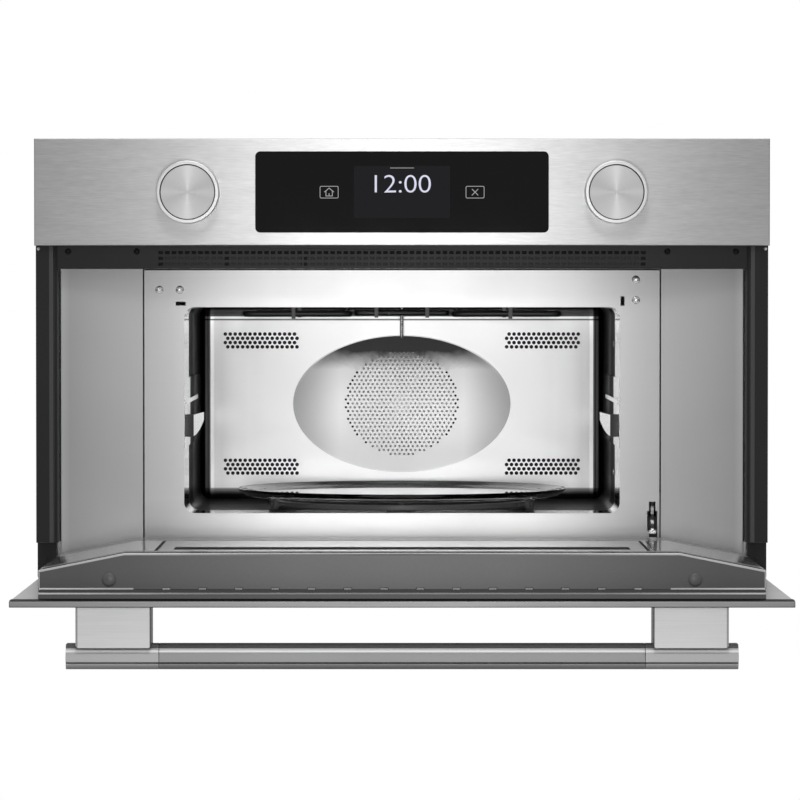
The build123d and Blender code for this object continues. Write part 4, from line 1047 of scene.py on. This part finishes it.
@dataclass
class Knob:
    """Knob with a bevelled rim, a spun face disc and a dark groove between the two, whose black
    lining is painted shade.
    """

    node: str
    body: Body
    x: float
    z: float = 396.4
    radius: float = 32.0
    inner: float = 28.4
    front: float = 25.0
    back: float = 1.0
    shaft_radius: float = 3.0
    shaft_end: float = -9.0
    bevel: float = 0.8
    chamfer: float = 0.25
    foot_chamfer: float = 0.3
    face_drop: float = 1.8
    face_thickness: float = 0.7
    face_edge: float = 0.2
    pan_drop: float = 1.0
    groove: float = 0.9
    lining_low: float = 0.98
    lining_middle: float = 0.72
    lining_high: float = 0.3
    clearance: float = 0.02
    wall: float = 3.0

    def build(self, rim: Material, face: Material, dark: Material) -> None:
        """Turn the pieces and let them stand for the knob's node.

        Args:
            rim: material of the shaft and the outer ring.
            face: material of the face disc.
            dark: material of the groove's lining, painted shade.
        """
        floor = self.front - self.face_drop
        seat, pan, under = floor - self.wall, floor - self.pan_drop, floor - self.face_thickness
        disc, hollow = self.inner - self.groove, self.radius - self.wall
        low, middle, high = (
            floor - drop for drop in (self.lining_low, self.lining_middle, self.lining_high)
        )
        reach, foot = self.inner - self.clearance, disc + self.clearance
        shaft = [
            (0, seat),
            (self.shaft_radius, seat),
            (self.shaft_radius, self.shaft_end),
            (0, self.shaft_end),
        ]
        ring = [
            (0, seat),
            (hollow, seat),
            (hollow, self.back),
            (self.radius - self.foot_chamfer, self.back),
            (self.radius, self.back + self.foot_chamfer),
            *self.rounding(),
            (self.inner + self.chamfer, self.front),
            (self.inner, self.front - self.chamfer),
            (self.inner, pan),
            (0, pan),
        ]
        plate = [(0, under), (disc, under), (disc, floor - self.face_edge)]
        plate += [(disc - self.chamfer, floor), (0, floor)]
        # the groove's black lining is painted shade in the gap between rim and face
        shade_lining = [(0, low), (reach, low), (reach, high), (foot, high), (foot, middle), (0, middle)]
        parts = (
            ("shaft", rim, 48, shaft),
            ("ring", rim, 160, ring),
            ("face", face, 160, plate),
            ("groove", dark, 120, shade_lining),
        )
        for part, material, steps, profile in parts:
            name = self.node + "_" + part
            piece = turn(name, profile, Spot(self.x, 0.0, self.z), material, steps)
            place_on(piece, self.body)
            if part == "ring":
                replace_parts(piece, self.node)

    def rounding(self) -> list[Pair]:
        """Radius and height of the points across the rim's rounded edge."""
        turns = [math.radians(15 * step) for step in range(7)]
        middle = (self.radius - self.bevel, self.front - self.bevel)
        return [
            (middle[0] + self.bevel * math.cos(angle), middle[1] + self.bevel * math.sin(angle))
            for angle in turns
        ]


@dataclass
class Display:
    """Clock, screen and two plain symbols that lie on the display's glass."""

    centre_z: float = 397.0
    depths: Pair = (-0.56, -0.51)
    digits_x: float = 0.8
    digits_rise: float = 8.4
    digits_width: float = 57.6
    digits_height: float = 18.0
    screen: Point = (98.6, 53.4, 1.2)
    screen_drop: float = 0.03
    line: Point = (24.6, 0.55, 0.25)
    line_rise: float = 24.6
    house_x: float = -74.8
    cross_x: float = 75.0
    symbol_drop: float = 0.2
    box_outer: Point = (19.2, 12.6, 1.6)
    box_inner: Point = (18.0, 11.4, 1.1)
    stroke_width: float = 0.7

    def build(self) -> None:
        """Make every piece and let it ride on the chassis."""
        white = Lit("display lavender white", (0.78, 0.79, 0.95), 0.9).build()
        symbol = Lit("display symbol grey", grey(0.55, 0.56), 0.75).build()
        glow = Lit("screen dark glow", grey(0.012, 0.013)).build()
        sunk = tuple(depth + self.screen_drop for depth in self.depths)
        screen = rounded_rectangle((0.0, self.centre_z), *self.screen)
        line = rounded_rectangle((0.0, self.centre_z + self.line_rise), *self.line)
        pieces = [
            flat_outline("screen_glow", screen, sunk, glow),
            flat_outline("screen_line", line, self.depths, symbol),
            self.clock(white),
        ]
        house = {
            "roof_left": ((-4.6, 0.3), (0.0, 4.2)),
            "roof_right": ((0.0, 4.2), (4.6, 0.3)),
            "wall_left": ((-3.3, 0.6), (-3.3, -3.9)),
            "wall_right": ((3.3, 0.6), (3.3, -3.9)),
            "floor": ((-3.3, -3.9), (3.3, -3.9)),
            "door": ((0.0, -3.9), (0.0, -1.4)),
        }
        cross = {"cross_0": ((-3.0, 3.0), (3.0, -3.0)), "cross_1": ((-3.0, -3.0), (3.0, 3.0))}
        pieces += self.symbol("left", self.house_x, house, symbol)
        pieces += self.symbol("right", self.cross_x, cross, symbol)
        for piece in pieces:
            place_on(piece, Body.CHASSIS)

    def clock(self, material: Material) -> Piece:
        """Set the clock's digits as a thin mesh.

        Args:
            material: the digits' material.

        Returns:
            The new object.
        """
        curve = bpy.data.curves.new("clock_digits", "FONT")
        curve.body = "12:00"
        curve.align_x = "CENTER"
        curve.align_y = "CENTER"
        curve.size = 25.3 * MM
        curve.space_character = 0.98
        curve.extrude = 0.02 * MM
        curve.offset = -0.3 * MM
        text = bpy.data.objects.new("clock_digits", curve)
        bpy.context.scene.collection.objects.link(text)
        bpy.context.view_layer.update()
        mesh = bpy.data.meshes.new_from_object(text)
        bpy.data.objects.remove(text)
        xs = [vertex.co.x for vertex in mesh.vertices]
        ys = [vertex.co.y for vertex in mesh.vertices]
        wide = self.digits_width * MM / (max(xs) - min(xs))
        tall = self.digits_height * MM / (max(ys) - min(ys))
        middle = ((min(xs) + max(xs)) / 2, (min(ys) + max(ys)) / 2)
        centre = Vector(at(self.digits_x, self.depths[0], self.centre_z + self.digits_rise))
        for vertex in mesh.vertices:
            x, z = (vertex.co.x - middle[0]) * wide, (vertex.co.y - middle[1]) * tall
            vertex.co = centre + Vector((x, -vertex.co.z, z))
        mesh.materials.clear()
        mesh.materials.append(material)
        piece = bpy.data.objects.new("clock_digits", mesh)
        bpy.context.scene.collection.objects.link(piece)
        return piece

    def symbol(
        self, side: str, x: float, strokes: dict[str, tuple[Pair, Pair]], material: Material
    ) -> list[Piece]:
        """Make a symbol in its thin box.

        Args:
            side: the side of the screen that it stands on.
            x: X of its centre.
            strokes: start and end of each stroke, from the centre.
            material: the lines' material.

        Returns:
            The box and the strokes.
        """
        z = self.centre_z - self.symbol_drop
        outer = rounded_rectangle((x, z), *self.box_outer)
        inner = rounded_rectangle((x, z), *self.box_inner)
        pieces = [flat_outline("symbol_box_" + side, outer, self.depths, material, inner)]
        for part, ends in strokes.items():
            first, last = (Vector((x + right, z + up)) for right, up in ends)
            tip = (last - first).normalized() * self.stroke_width / 2
            edge = Vector((-tip.y, tip.x))
            corners = [first - tip + edge, first - tip - edge, last + tip - edge, last + tip + edge]
            outline = [tuple(corner) for corner in corners]
            pieces.append(flat_outline("symbol_" + part, outline, self.depths, material))
        return pieces


@dataclass
class ControlPanel:
    """Brushed fascia with the display and the two knobs."""

    knob_offset: float = 219.2

    def build(self) -> None:
        """Dress the fascia and make the knobs and the display's markings."""
        # painted shade: the fascia's faces that turn from the front are darker
        fascia = BrushedSteel(
            "panel brushed steel",
            roughness=0.345,
            contrast=0.5,
            anisotropy=0.8,
            line_length=15.0,
            line_pitch=1.5,
            tones=(PaintedFacingLight(FORWARD, 0.78),),
        )
        dress(fascia, "control_panel")
        dress(BackPrintedGlass("display black glass"), "display_glass")
        dress(Painted("display housing plastic", grey(0.03, 0.032)), "display_housing")
        dress(Painted("circuit board mask", (0.03, 0.11, 0.05), coat=0.4), "control_board")
        dress(Painted("encoder case", grey(0.12, 0.13), metallic=0.6), "encoders")
        plain = {"anisotropy": 0.0, "contrast": 0.04, "line_length": 30.0, "along": Axis.DEPTH}
        materials = (
            BrushedSteel("knob rim steel", grey(0.84, 0.845), 0.42, **plain).build(),
            SpunSteel("knob spun face").build(),
            # the groove's black lining: painted shade
            Painted("knob groove painted shade", grey(0.01), specular=0.1, dust=0.0).build(),
        )
        for (name, side), body in zip(SIDES, (Body.KNOB_LEFT, Body.KNOB_RIGHT)):
            Knob("knob_" + name, body, side * self.knob_offset).build(*materials)
        Display().build()


@dataclass
class Screws:
    """Domed screws with a recess, in the vent strip, the cavity plate and the cavity wall."""

    plate_surface: float = 54.2
    vent_surface: float = 9.5
    post_surface: float = 8.5
    wall_surface: float = 227.75
    height: float = 1.5
    shank_radius: float = 1.4

    def build(self) -> None:
        """Make every visible screw and let the plate and vent screws stand for their CAD nodes."""
        # painted shade: the steep edges of the bright heads are darker
        bright = BrushedSteel(
            "bright screw steel",
            grey(0.85),
            0.22,
            anisotropy=0.0,
            contrast=0.05,
            tones=(PaintedFacingLight(FORWARD, 0.25, (0.8, 0.5)),),
        ).build()
        dark = Painted("dark screw plating", grey(0.002), 0.3, dust=0.0, specular=0.2).build()
        plate = ((-251.9, 296.7), (-230.8, 296.7), (243.0, 307.2), (243.0, 286.1))
        spots = [Spot(x, self.plate_surface, z) for x, z in plate]
        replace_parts(self.row("plate_screw_", spots, 4.35, bright), "cavity_screws")
        spots = [Spot(self.wall_surface, 203.0, z, Facing.LEFT) for z in (239.1, 101.2)]
        self.row("wall_screw_", spots, 4.2, bright, 4.0)
        spots = [Spot(x, self.vent_surface, 336.0) for x in (-343.5, -273.0, 273.0, 343.5)]
        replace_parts(self.row("vent_screw_", spots, 3.2, dark), "grille_screws")
        spots = [Spot(x, self.post_surface, 338.8) for x in (-373.925, 373.925)]
        self.row("post_rivet_", spots, 1.7, bright, 0.05)

    def row(
        self, name: str, spots: Sequence[Spot], radius: float, material: Material, shank: float = 6.0
    ) -> Piece:
        """Make a set of like screws.

        Args:
            name: start of each screw's name; its number follows.
            spots: where the screws sit.
            radius: radius of the head.
            material: their material.
            shank: length of the shank.

        Returns:
            The first screw.
        """
        top, socket = self.height, radius * 0.26
        shares = (0.34, 0.5, 0.62, 0.74, 0.86)
        profile = [
            (0.0, top * 0.5),
            (socket, top * 0.5),
            (socket, top - 0.1),
            (socket + 0.15, top),
            *((radius * share, top * math.sqrt(1.0 - 0.86 * share * share)) for share in shares),
            (radius * 0.92, top * 0.3),
            (radius, top * 0.26),
            (radius, 0.0),
            (self.shank_radius, 0.0),
            (self.shank_radius, -shank),
            (0.0, -shank),
        ]
        pieces = []
        for number, spot in enumerate(spots):
            piece = turn(name + str(number), profile, spot, material, 36, 40.0)
            pieces.append(place_on(piece, Body.CHASSIS))
        return pieces[0]


@dataclass
class Recess:
    """Posts, flange, vent strip, liners and sill round the door's recess."""

    plug_x: float = 366.8

    def build(self) -> None:
        """Dress every node of the recess."""
        satin = {"roughness": 0.42, "dust": 0.01, "specular": 0.2}
        # painted highlight: the posts' faces that turn from the front, chamfers and sides, are 3.8
        # times lighter
        faces = (PaintedFacingLight(FORWARD, 3.8, (0.995, 0.98)),)
        posts = Painted("post satin black", grey(0.022, 0.0222), tones=faces, **satin)
        dress(posts, "frame_posts")
        soften_edges("frame_posts", 0.5)
        dress(Painted("flange satin black", grey(0.026, 0.0262), **satin), "mounting_flange")
        grille = Painted("vent strip grey", grey(0.004, 0.0042), 0.36, dust=0.0, specular=0.34)
        dress(grille, "vent_grille")
        shadows = (
            upward((318, 1), (331.5, 1), (332.5, 0.05), (345, 0.05)),
            Bands(Axis.ACROSS, ((-300, 0.05), (-246, 0.05), (-245, 1), (300, 1))),
        )
        dress(Painted("baffle grey", grey(0.09, 0.091), specular=0.2, tones=shadows), "vent_baffle")
        # painted light across the liners: lighter at the inner end, darker further out, lighter
        # again at the outer edge
        liners = BrushedSteel(
            "liner satin steel",
            grey(0.50, 0.502),
            0.5,
            Axis.UP,
            anisotropy=0.0,
            contrast=0.03,
            tones=(across((268, 1.28), (344, 0.88), (349, 1), (355, 1.1)),),
        )
        dress(liners, "side_liners")
        dress(BrushedSteel("sill steel", grey(0.5), 0.35, contrast=0.06), "sill")
        self.shade_seam_and_print_strips()

    def shade_seam_and_print_strips(self) -> None:
        """Fill the joints behind the baffle, over the plate and beside the liners, and the flange
        holes, with black: painted shade.
        """
        # black strips and plugs stand in for the shade in these joints and holes
        black = Painted("shade seam and print black", grey(0.004), 0.6, dust=0.0).build()
        shade_seam_and_print_strips = Strips(Body.CHASSIS, "post_paint", black)
        shade_seam_and_print_strips.lay("baffle_joint_shade", (-300.0, 300.0), (14.0, 14.6), (320.0, 341.5))
        shade_seam_and_print_strips.lay("plate_top_shade", (-267.5, 267.5), (53.9, 54.15), (316.9, 318.35))
        profile = [(0.0, 0.0), (2.15, 0.0), (2.23, -0.08), (2.23, -1.2), (0.0, -1.2)]
        for name, side in SIDES:
            spot = Spot(side * self.plug_x, 26.1, 18.0)
            plug = turn("flange_hole_shade_" + name, profile, spot, black, 32)
            place_on(plug, Body.CHASSIS)
            ends = (side * 353.2, side * 354.8)
            shade_seam_and_print_strips.lay("liner_seal_" + name, ends, (38.3, 39.0), (36.0, 318.0))


@dataclass
class Cavity:
    """Plate, liner, back wall, dish, supports, heater and rod."""

    def build(self) -> None:
        """Dress every node of the cavity."""
        # painted light: darker towards the bottom, lighter across the middle, darker towards the
        # sides
        plate = BrushedSteel(
            "cavity plate steel",
            grey(0.64),
            0.345,
            contrast=0.04,
            anisotropy=0.8,
            tones=(
                upward((20, 0.7), (48, 0.74), (62, 0.88), (80, 1), (320, 1)),
                across(
                    (0, 1), (70, 1), (135, 1.18), (177, 1.16), (218, 1.05), (240, 0.98), (268, 0.94)
                ),
            ),
        )
        dress(plate, "cavity_plate")
        # painted light: the cavity walls are bright near the opening, with painted shade and painted
        # reflection streaks deeper in
        dress(PaintedReflectionSteel("cavity wall steel"), "cavity_liner")
        # painted light: faces that turn from the front are shaded; painted shade near the floor and
        # at the top, with a painted highlight line between dark lines up there; across, lighter in
        # the middle, then a painted highlight line and painted shade at the side bends
        back = BrushedSteel(
            "cavity back steel",
            grey(0.92),
            0.38,
            contrast=0.03,
            anisotropy=0.75,
            tones=(
                PaintedFacingLight(FORWARD, 0.2),
                upward(
                    (60, 0.05), (67, 0.1), (73, 0.3), (73.4, 1), (262.2, 1), (262.4, 0.15),
                    (264.2, 0.15), (264.4, 1.1), (266.8, 1.1), (267.1, 0.08), (271.5, 0.08),
                    (274, 0.3), (284, 0.4),
                ),
                across(
                    (0, 1.08), (129, 1.14), (172, 1.04), (203, 0.74), (211.5, 0.76), (212.6, 1.1),
                    (216, 1.1), (216.3, 0.12), (219.6, 0.12), (219.9, 0.5), (222.3, 0.5),
                    (222.6, 0.06), (229, 0.06),
                ),
            ),
        )
        dress(back, "cavity_back")
        # painted light: steep faces are shaded, faces that look down get a dark painted reflection,
        # and the dish darkens towards its sides
        dish = BrushedSteel(
            "dish satin steel",
            grey(0.70, 0.704),
            0.36,
            contrast=0.02,
            anisotropy=0.4,
            flatten=0.6,
            tones=(
                PaintedFacingLight(FORWARD, 0.6, (0.93, 0.8)),
                PaintedFacingLight(DOWNWARD, 0.07, (0.15, 0.23)),
                across(
                    (0, 1), (70, 1.06), (76, 1), (87, 0.86), (99, 0.72), (114, 0.58), (123, 0.5)
                ),
            ),
        )
        dress(dish, "fan_cover")
        # painted light: the supports are bright within 225 mm of the middle and take the walls'
        # painted reflection elsewhere
        supports = PaintedReflectionSteel("support polished steel", ground=0.0, raised=225.0)
        dress(supports, "rack_supports")
        heater = BrushedSteel("heater sheath", grey(0.06), 0.35, anisotropy=0.0)
        dress(heater, "grill_heater", "ring_heater")
        dress(BrushedSteel("rod bright steel", grey(0.5), 0.2, anisotropy=0.0), "probe_rod")
        dress(Glass("lamp glass", (0.95, 0.95, 0.93), 0.2), "cavity_lamp")
        # black plates in the mouths of the rack supports: painted shade
        black = Painted("support mouth painted shade black", grey(0.006), 0.4, dust=0.0).build()
        stops = Strips(Body.CHASSIS, "post_paint", black)
        stops.mirror("support_mouth_shade_", (218.6, 226.7), (99.2, 99.9), (142.3, 166.2))


@dataclass
class Turntable:
    """Glass tray, coupler, ring and rollers."""

    def build(self) -> None:
        """Dress every node of the turntable."""
        # painted reflection: the tray's gloss strength in rings round its axis
        rings = Bands(
            Axis.ACROSS,
            ((0, 0.5), (30, 0.5), (48, 0), (132, 0), (144, 0.5), (166, 0.5), (178, 0.1)),
            around=(0.0, TABLE_Y, 0.0),
        )
        dress(Glass("tray glass", painted_reflection=rings), "glass_tray")
        plastic = Painted("heat resistant plastic", grey(0.13, 0.127), 0.35)
        dress(plastic, "roller_ring", "roller_a", "roller_b", "roller_c", "drive_coupler")


@dataclass
class Door:
    """Skin, glasses, carrier, choke cover, bumpers, hinges and handle."""

    near: float = -283.0
    slot_count: int = 14
    slot_pitch: float = 35.03
    slot_length: float = 7.2
    rim_width: float = 702.4
    bumper_x: float = 283.0
    bumper_z: float = 16.7
    bumper_radius: float = 6.75
    bumper_height: float = 2.2

    def build(self) -> None:
        """Dress every node of the door and make its trim."""
        # painted shade: faces of the skin that do not look down are darker, with a dark line along
        # the lower front rounding
        skin_shade = (
            PaintedFacingLight(DOWNWARD, 0.62),
            PaintedFacingLight((0.0, -0.7071, -0.7071), 0.05, (0.7, 0.8)),
        )
        skin = BrushedSteel(
            "door skin steel", roughness=0.46, contrast=0.4, anisotropy=0.6, tones=skin_shade
        )
        dress(skin, "door_skin")
        soften_edges("door_skin", 1.2, 3)
        dress(BackPrintedGlass("door outer glass"), "door_glass")
        dress(Painted("door frame grey", grey(0.125, 0.127), 0.35), "door_carrier")
        # painted light: the upward faces get the lighter polished copy; the steel bands paint a dark
        # line behind the front edge and greyer near and far borders; the paint has painted shade
        # towards the ends
        cover = PaintedEdge(
            "choke cover",
            paint=grey(0.27, 0.272),
            steel=grey(0.62),
            direction=(0.0, 0.0, 1.0),
            steel_tones=(
                inward(
                    (-563, 1), (-559.5, 1), (-558.5, 0.08), (-541, 0.08), (-539, 0.5),
                    (-518, 0.5), (-516, 1), (-345, 1), (-343, 0.5), (-281, 0.5),
                ),
            ),
            paint_tones=(
                across((0, 1), (100, 0.96), (200, 0.76), (260, 0.62), (310, 0.54), (352, 0.54)),
            ),
        )
        dress(cover, "door_cover")
        soften_edges("door_cover", 1.6, 3)
        dress(Glass("door inner glass", (0.55, 0.57, 0.57)), "door_inner_glass")
        dress(Painted("mesh black", grey(0.02)), "door_mesh")
        dress(BrushedSteel("hinge steel", grey(0.45), 0.35), "hinge_arms", "hinge_brackets")
        self.handle()
        self.bumpers()
        self.trim()

    def handle(self) -> None:
        """Dress the bar and its brackets."""
        # painted light up the bar: shade along its bottom and a shaded line above that, a painted
        # highlight on the bevel and shade on the upper bevel; the ends past 235 mm are lighter
        bar = BrushedSteel(
            "handle bar steel",
            grey(0.42, 0.422),
            0.5,
            contrast=0.06,
            anisotropy=0.0,
            tones=(
                across((0, 1), (235.3, 1), (235.4, 1.35), (330, 1.35)),
                upward(
                    (-71.2, 0.42), (-69, 0.52), (-65.7, 1), (-65.5, 0.74), (-63.8, 0.74),
                    (-63.6, 0.98), (-54.5, 0.98), (-54.3, 2.4), (-50.8, 2.4), (-50.6, 0.5),
                    (-46.8, 0.5),
                ),
            ),
        )
        # painted shade: the brackets' sides, a dark line along their inner edge and a grey band
        # along their outer edge
        brackets = BrushedSteel(
            "handle bracket steel",
            grey(0.78, 0.784),
            0.5,
            contrast=0.2,
            anisotropy=0.0,
            tones=(
                PaintedFacingLight(FORWARD, 0.5),
                across(
                    (242, 0.15), (243.9, 0.15), (244.1, 1), (313.6, 1), (313.8, 0.5), (316, 0.5)
                ),
            ),
        )
        for finish, node in ((bar, "handle_bar"), (brackets, "handle_brackets")):
            dress(finish, node)
            soften_edges(node, 0.5)

    def bumpers(self) -> None:
        """Turn the two domed rubber buttons of the near face."""
        rubber = Painted("bumper rubber", grey(0.12, 0.121), 0.36, dust=0.01).build()
        flat = 0.1
        profile = [(0.0, self.bumper_height)]
        for step in range(1, 9):
            angle = math.radians(90 * step / 8)
            rise = flat + (self.bumper_height - flat) * math.cos(angle)
            profile.append((self.bumper_radius * math.sin(angle), rise))
        profile += [(self.bumper_radius, 0.0), (0.0, 0.0)]
        for name, side in SIDES:
            spot = Spot(side * self.bumper_x, self.near, self.bumper_z)
            piece = turn("bumper_" + name, profile, spot, rubber, 64)
            place_on(piece, Body.DOOR)
            if side < 0:
                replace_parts(piece, "door_bumpers")

    def trim(self) -> None:
        """Lay painted highlights and painted shade along the door's near edge, the dark seams and
        the glass print.
        """
        # painted highlights: bright strips and beads stand in for light on the cover's edges and in
        # its slots, stronger towards the ends; painted shade: dark strips in the near groove, under
        # the near face and on the skin's ledge
        strip_highlight_tones = across((0, 0.68), (200, 0.8), (290, 1.6), (352, 2.3))
        edge_highlight_tones = across((0, 0.32), (150, 0.55), (260, 1), (352, 1))
        edge_highlight = BrushedSteel(
            "painted edge highlight steel", grey(0.5), 0.45, anisotropy=0.0, tones=(edge_highlight_tones,)
        ).build()
        strip_highlight = BrushedSteel(
            "painted highlight strip steel", grey(0.3), 0.4, anisotropy=0.0, tones=(strip_highlight_tones,)
        ).build()
        shade_seam_and_print_black = Painted("trim shade seam and print black", grey(0.004), 0.6, dust=0.0, specular=0.1).build()
        shade = Painted("groove painted shade grey", grey(0.1, 0.101), specular=0.2).build()
        highlight_strips, edge_highlight_strips, shade_seam_and_print_strips, groove_shade_strips = (
            Strips(Body.DOOR, "door_steel", material)
            for material in (strip_highlight, edge_highlight, shade_seam_and_print_black, shade)
        )
        near, half = self.near, self.rim_width / 2
        crest = [(-half, 25.4), (-268.4, 42.05), (268.4, 42.05), (half, 25.4)]
        lower = [(x, z - 1.8) for x, z in reversed(crest)]
        bead = flat_outline("rim_edge_highlight", crest + lower, (near - 0.25, near), edge_highlight)
        place_on(bead, Body.DOOR)
        highlight_strips.lay("near_highlight", (-half, half), (near - 0.3, near), (2.4, 4.0))
        groove_shade_strips.lay("near_groove_shade", (-half, half), (near - 0.15, near), (4.1, 6.6))
        shade_seam_and_print_strips.lay("near_shade", (-half, half), (near - 0.15, near), (-2.5, -1.8))
        shade_seam_and_print_strips.lay("skin_ledge_shade", (-377.5, 377.5), (-306.2, near - 0.4), (-2.58, -2.15))
        shade_seam_and_print_strips.lay("glass_print", (-224.0, 224.0), (-219.0, -176.0), (42.06, 42.14))
        shade_seam_and_print_strips.lay("seam_left", (-242.0, -239.0), (-239.6, -72.0), (42.26, 42.36))
        shade_seam_and_print_strips.lay("seam_right", (239.2, 241.8), (-239.6, -72.0), (42.26, 42.36))
        shade_seam_and_print_strips.lay("seam_outer", (246.0, 247.2), (-238.0, -72.0), (42.26, 42.36))
        highlight_strips.mirror("end_highlight_", (259.4, 350.6), (near - 0.25, near), (7.1, 8.6))
        edge_highlight_strips.mirror("end_edge_highlight_", (350.0, 351.0), (near - 0.25, near), (8.6, 23.6))
        for number in range(self.slot_count):
            x = (number - (self.slot_count - 1) / 2) * self.slot_pitch
            ends = (x - self.slot_length / 2, x + self.slot_length / 2)
            highlight_strips.lay("slot_lip_" + str(number), ends, (near + 0.1, near + 1.2), (7.05, 8.55))


@dataclass
class Works:
    """Covers and the machinery inside them."""

    def build(self) -> None:
        """Dress every node that sits behind the front."""
        sheets = ("outer_wrapper", "rear_cover", "base_plate", "component_deck", "support_rails")
        dress(CoatedSheet("galvanised sheet"), *sheets, "waveguide")
        # the chamber behind the vent holes is near black: painted shade
        dress(Painted("chamber painted shade", grey(0.008), 0.6), "fan_chamber")
        dress(Painted("mica sheet", (0.5, 0.46, 0.38), 0.3), "waveguide_cover")
        aluminium = BrushedSteel("bare aluminium", grey(0.6), 0.4, anisotropy=0.0)
        dress(aluminium, "magnetron", "convection_fan")
        dress(Painted("supply board mask", (0.04, 0.13, 0.06), coat=0.3), "inverter")
        plastic = Painted("moulded black plastic", grey(0.04, 0.041), 0.45)
        dress(plastic, "blower_housing", "blower_wheel", "interlock_switch", "cable_gland")
        motor = Painted("motor case", grey(0.22, 0.225), 0.4, metallic=0.7)
        dress(motor, "blower_motor", "convection_motor", "turntable_motor")
        # painted light: bands up the lever paint bright glints and shade
        lever = BrushedSteel(
            "lever plated steel",
            grey(0.85),
            0.2,
            anisotropy=0.0,
            contrast=0.05,
            tones=(
                upward(
                    (42, 1), (48, 1), (48.5, 0.06), (53, 0.06), (53.5, 0.6), (57, 0.5),
                    (57.5, 0.04), (63, 0.04), (64, 0.4), (70, 0.4), (72, 0.03), (80, 0.03),
                ),
            ),
        )
        dress(lever, "interlock_lever")


@dataclass
class Studio:
    """Camera, lights, backdrop and floor."""

    camera_spot: Point = (-2.05, -4600.0, 292.3)
    lens: float = 201.5
    pitch: float = 1.356
    floor_z: float = -900.0
    floor_radius: float = 5500.0
    room: tuple[Pair, ...] = (
        (-0.9, 0.3),
        (-0.3, 0.14),
        (0.05, 0.09),
        (0.13, 0.4),
        (0.38, 0.5),
        (0.6, 0.36),
        (0.95, 0.85),
    )

    def build(self) -> None:
        """Set up the picture."""
        bpy.context.scene.view_settings.view_transform = "Standard"
        self.camera()
        self.world()
        self.lamp("front soft light", (0, -2600, 162), (0, 0, 230), (420, 390), 6.4)
        self.lamp("upper soft light", (0, -1500, 1500), (0, 0, 300), (500, 500), 5.0)
        self.lamp("overhead soft light", (0, 450, 1900), (0, 200, 300), (1600, 700), 8.0)
        self.stage()

    def camera(self) -> None:
        """Place the camera in front of the oven, looking slightly down."""
        data = bpy.data.cameras.new("camera")
        data.lens = self.lens
        data.sensor_width = 36.0
        data.clip_end = 100.0
        view = bpy.data.objects.new("camera", data)
        view.location = at(*self.camera_spot)
        view.rotation_euler = (math.radians(90 - self.pitch), 0.0, 0.0)
        bpy.context.scene.collection.objects.link(view)
        bpy.context.scene.camera = view

    def world(self) -> None:
        """White to the camera, a plain grey room to the surfaces, paler behind the oven."""
        world = bpy.data.worlds.new("studio")
        bpy.context.scene.world = world
        world.use_nodes = True
        tree = Tree(world.node_tree)
        parts = tree.parts(tree.add("TexCoord").outputs["Generated"])
        stops = [((height + 1.0) / 2, level) for height, level in self.room]
        room = world.node_tree.nodes["Background"]
        level = tree.ramp(tree.remap(parts[2], (-1.0, 1.0)), stops)
        tree.fill(room, {"Color": (1, 1, 1, 1), "Strength": level})
        white = tree.add("Background", {"Color": (1, 1, 1, 1)})
        path = tree.add("LightPath").outputs
        mirrored = tree.math("MAXIMUM", path["Is Glossy Ray"], path["Is Transmission Ray"])
        beyond = tree.math("MULTIPLY", mirrored, tree.remap(parts[1], (0.0, 0.2)))
        shown = tree.math("MAXIMUM", path["Is Camera Ray"], beyond)
        mix = tree.add("MixShader", {0: shown, 1: room.outputs[0], 2: white.outputs[0]})
        tree.fill(world.node_tree.nodes["World Output"], {"Surface": mix.outputs[0]})

    def lamp(self, name: str, place: Point, target: Point, size: Pair, power: float) -> None:
        """Place an area lamp.

        Args:
            name: the lamp's name.
            place: X, depth and Z in millimetres.
            target: X, depth and Z of the point that it faces.
            size: width and height in millimetres.
            power: power in watts.
        """
        data = bpy.data.lights.new(name, "AREA")
        data.shape = "RECTANGLE"
        data.size = size[0] * MM
        data.size_y = size[1] * MM
        data.energy = power
        lamp = bpy.data.objects.new(name, data)
        lamp.location = at(*place)
        aim = Vector(at(*target)) - Vector(lamp.location)
        lamp.rotation_euler = aim.to_track_quat("-Z", "Y").to_euler()
        lamp.visible_camera = False
        bpy.context.scene.collection.objects.link(lamp)

    def stage(self) -> None:
        """Lay the pale floor."""
        material = bpy.data.materials.new("pale floor")
        material.use_nodes = True
        shader = material.node_tree.nodes["Principled BSDF"]
        colour = {"Base Color": (0.85, 0.85, 0.85, 1.0), "Roughness": 0.9}
        Tree(material.node_tree).fill(shader, colour)
        rings = [(self.floor_radius * share, 0.0) for share in (0.0, 0.25, 0.6, 1.0)]
        spot = Spot(0.0, -FACE_Y, self.floor_z, Facing.TOP)
        turn("floor", rings, spot, material, 96)


def main() -> None:
    """Build the sub-assemblies in order."""
    logging.basicConfig(level=logging.INFO)
    Studio().build()
    for assembly in (ControlPanel(), Screws(), Recess(), Cavity(), Turntable(), Door(), Works()):
        LOG.info("building %s", type(assembly).__name__)
        assembly.build()


if __name__ == "__main__":
    main()
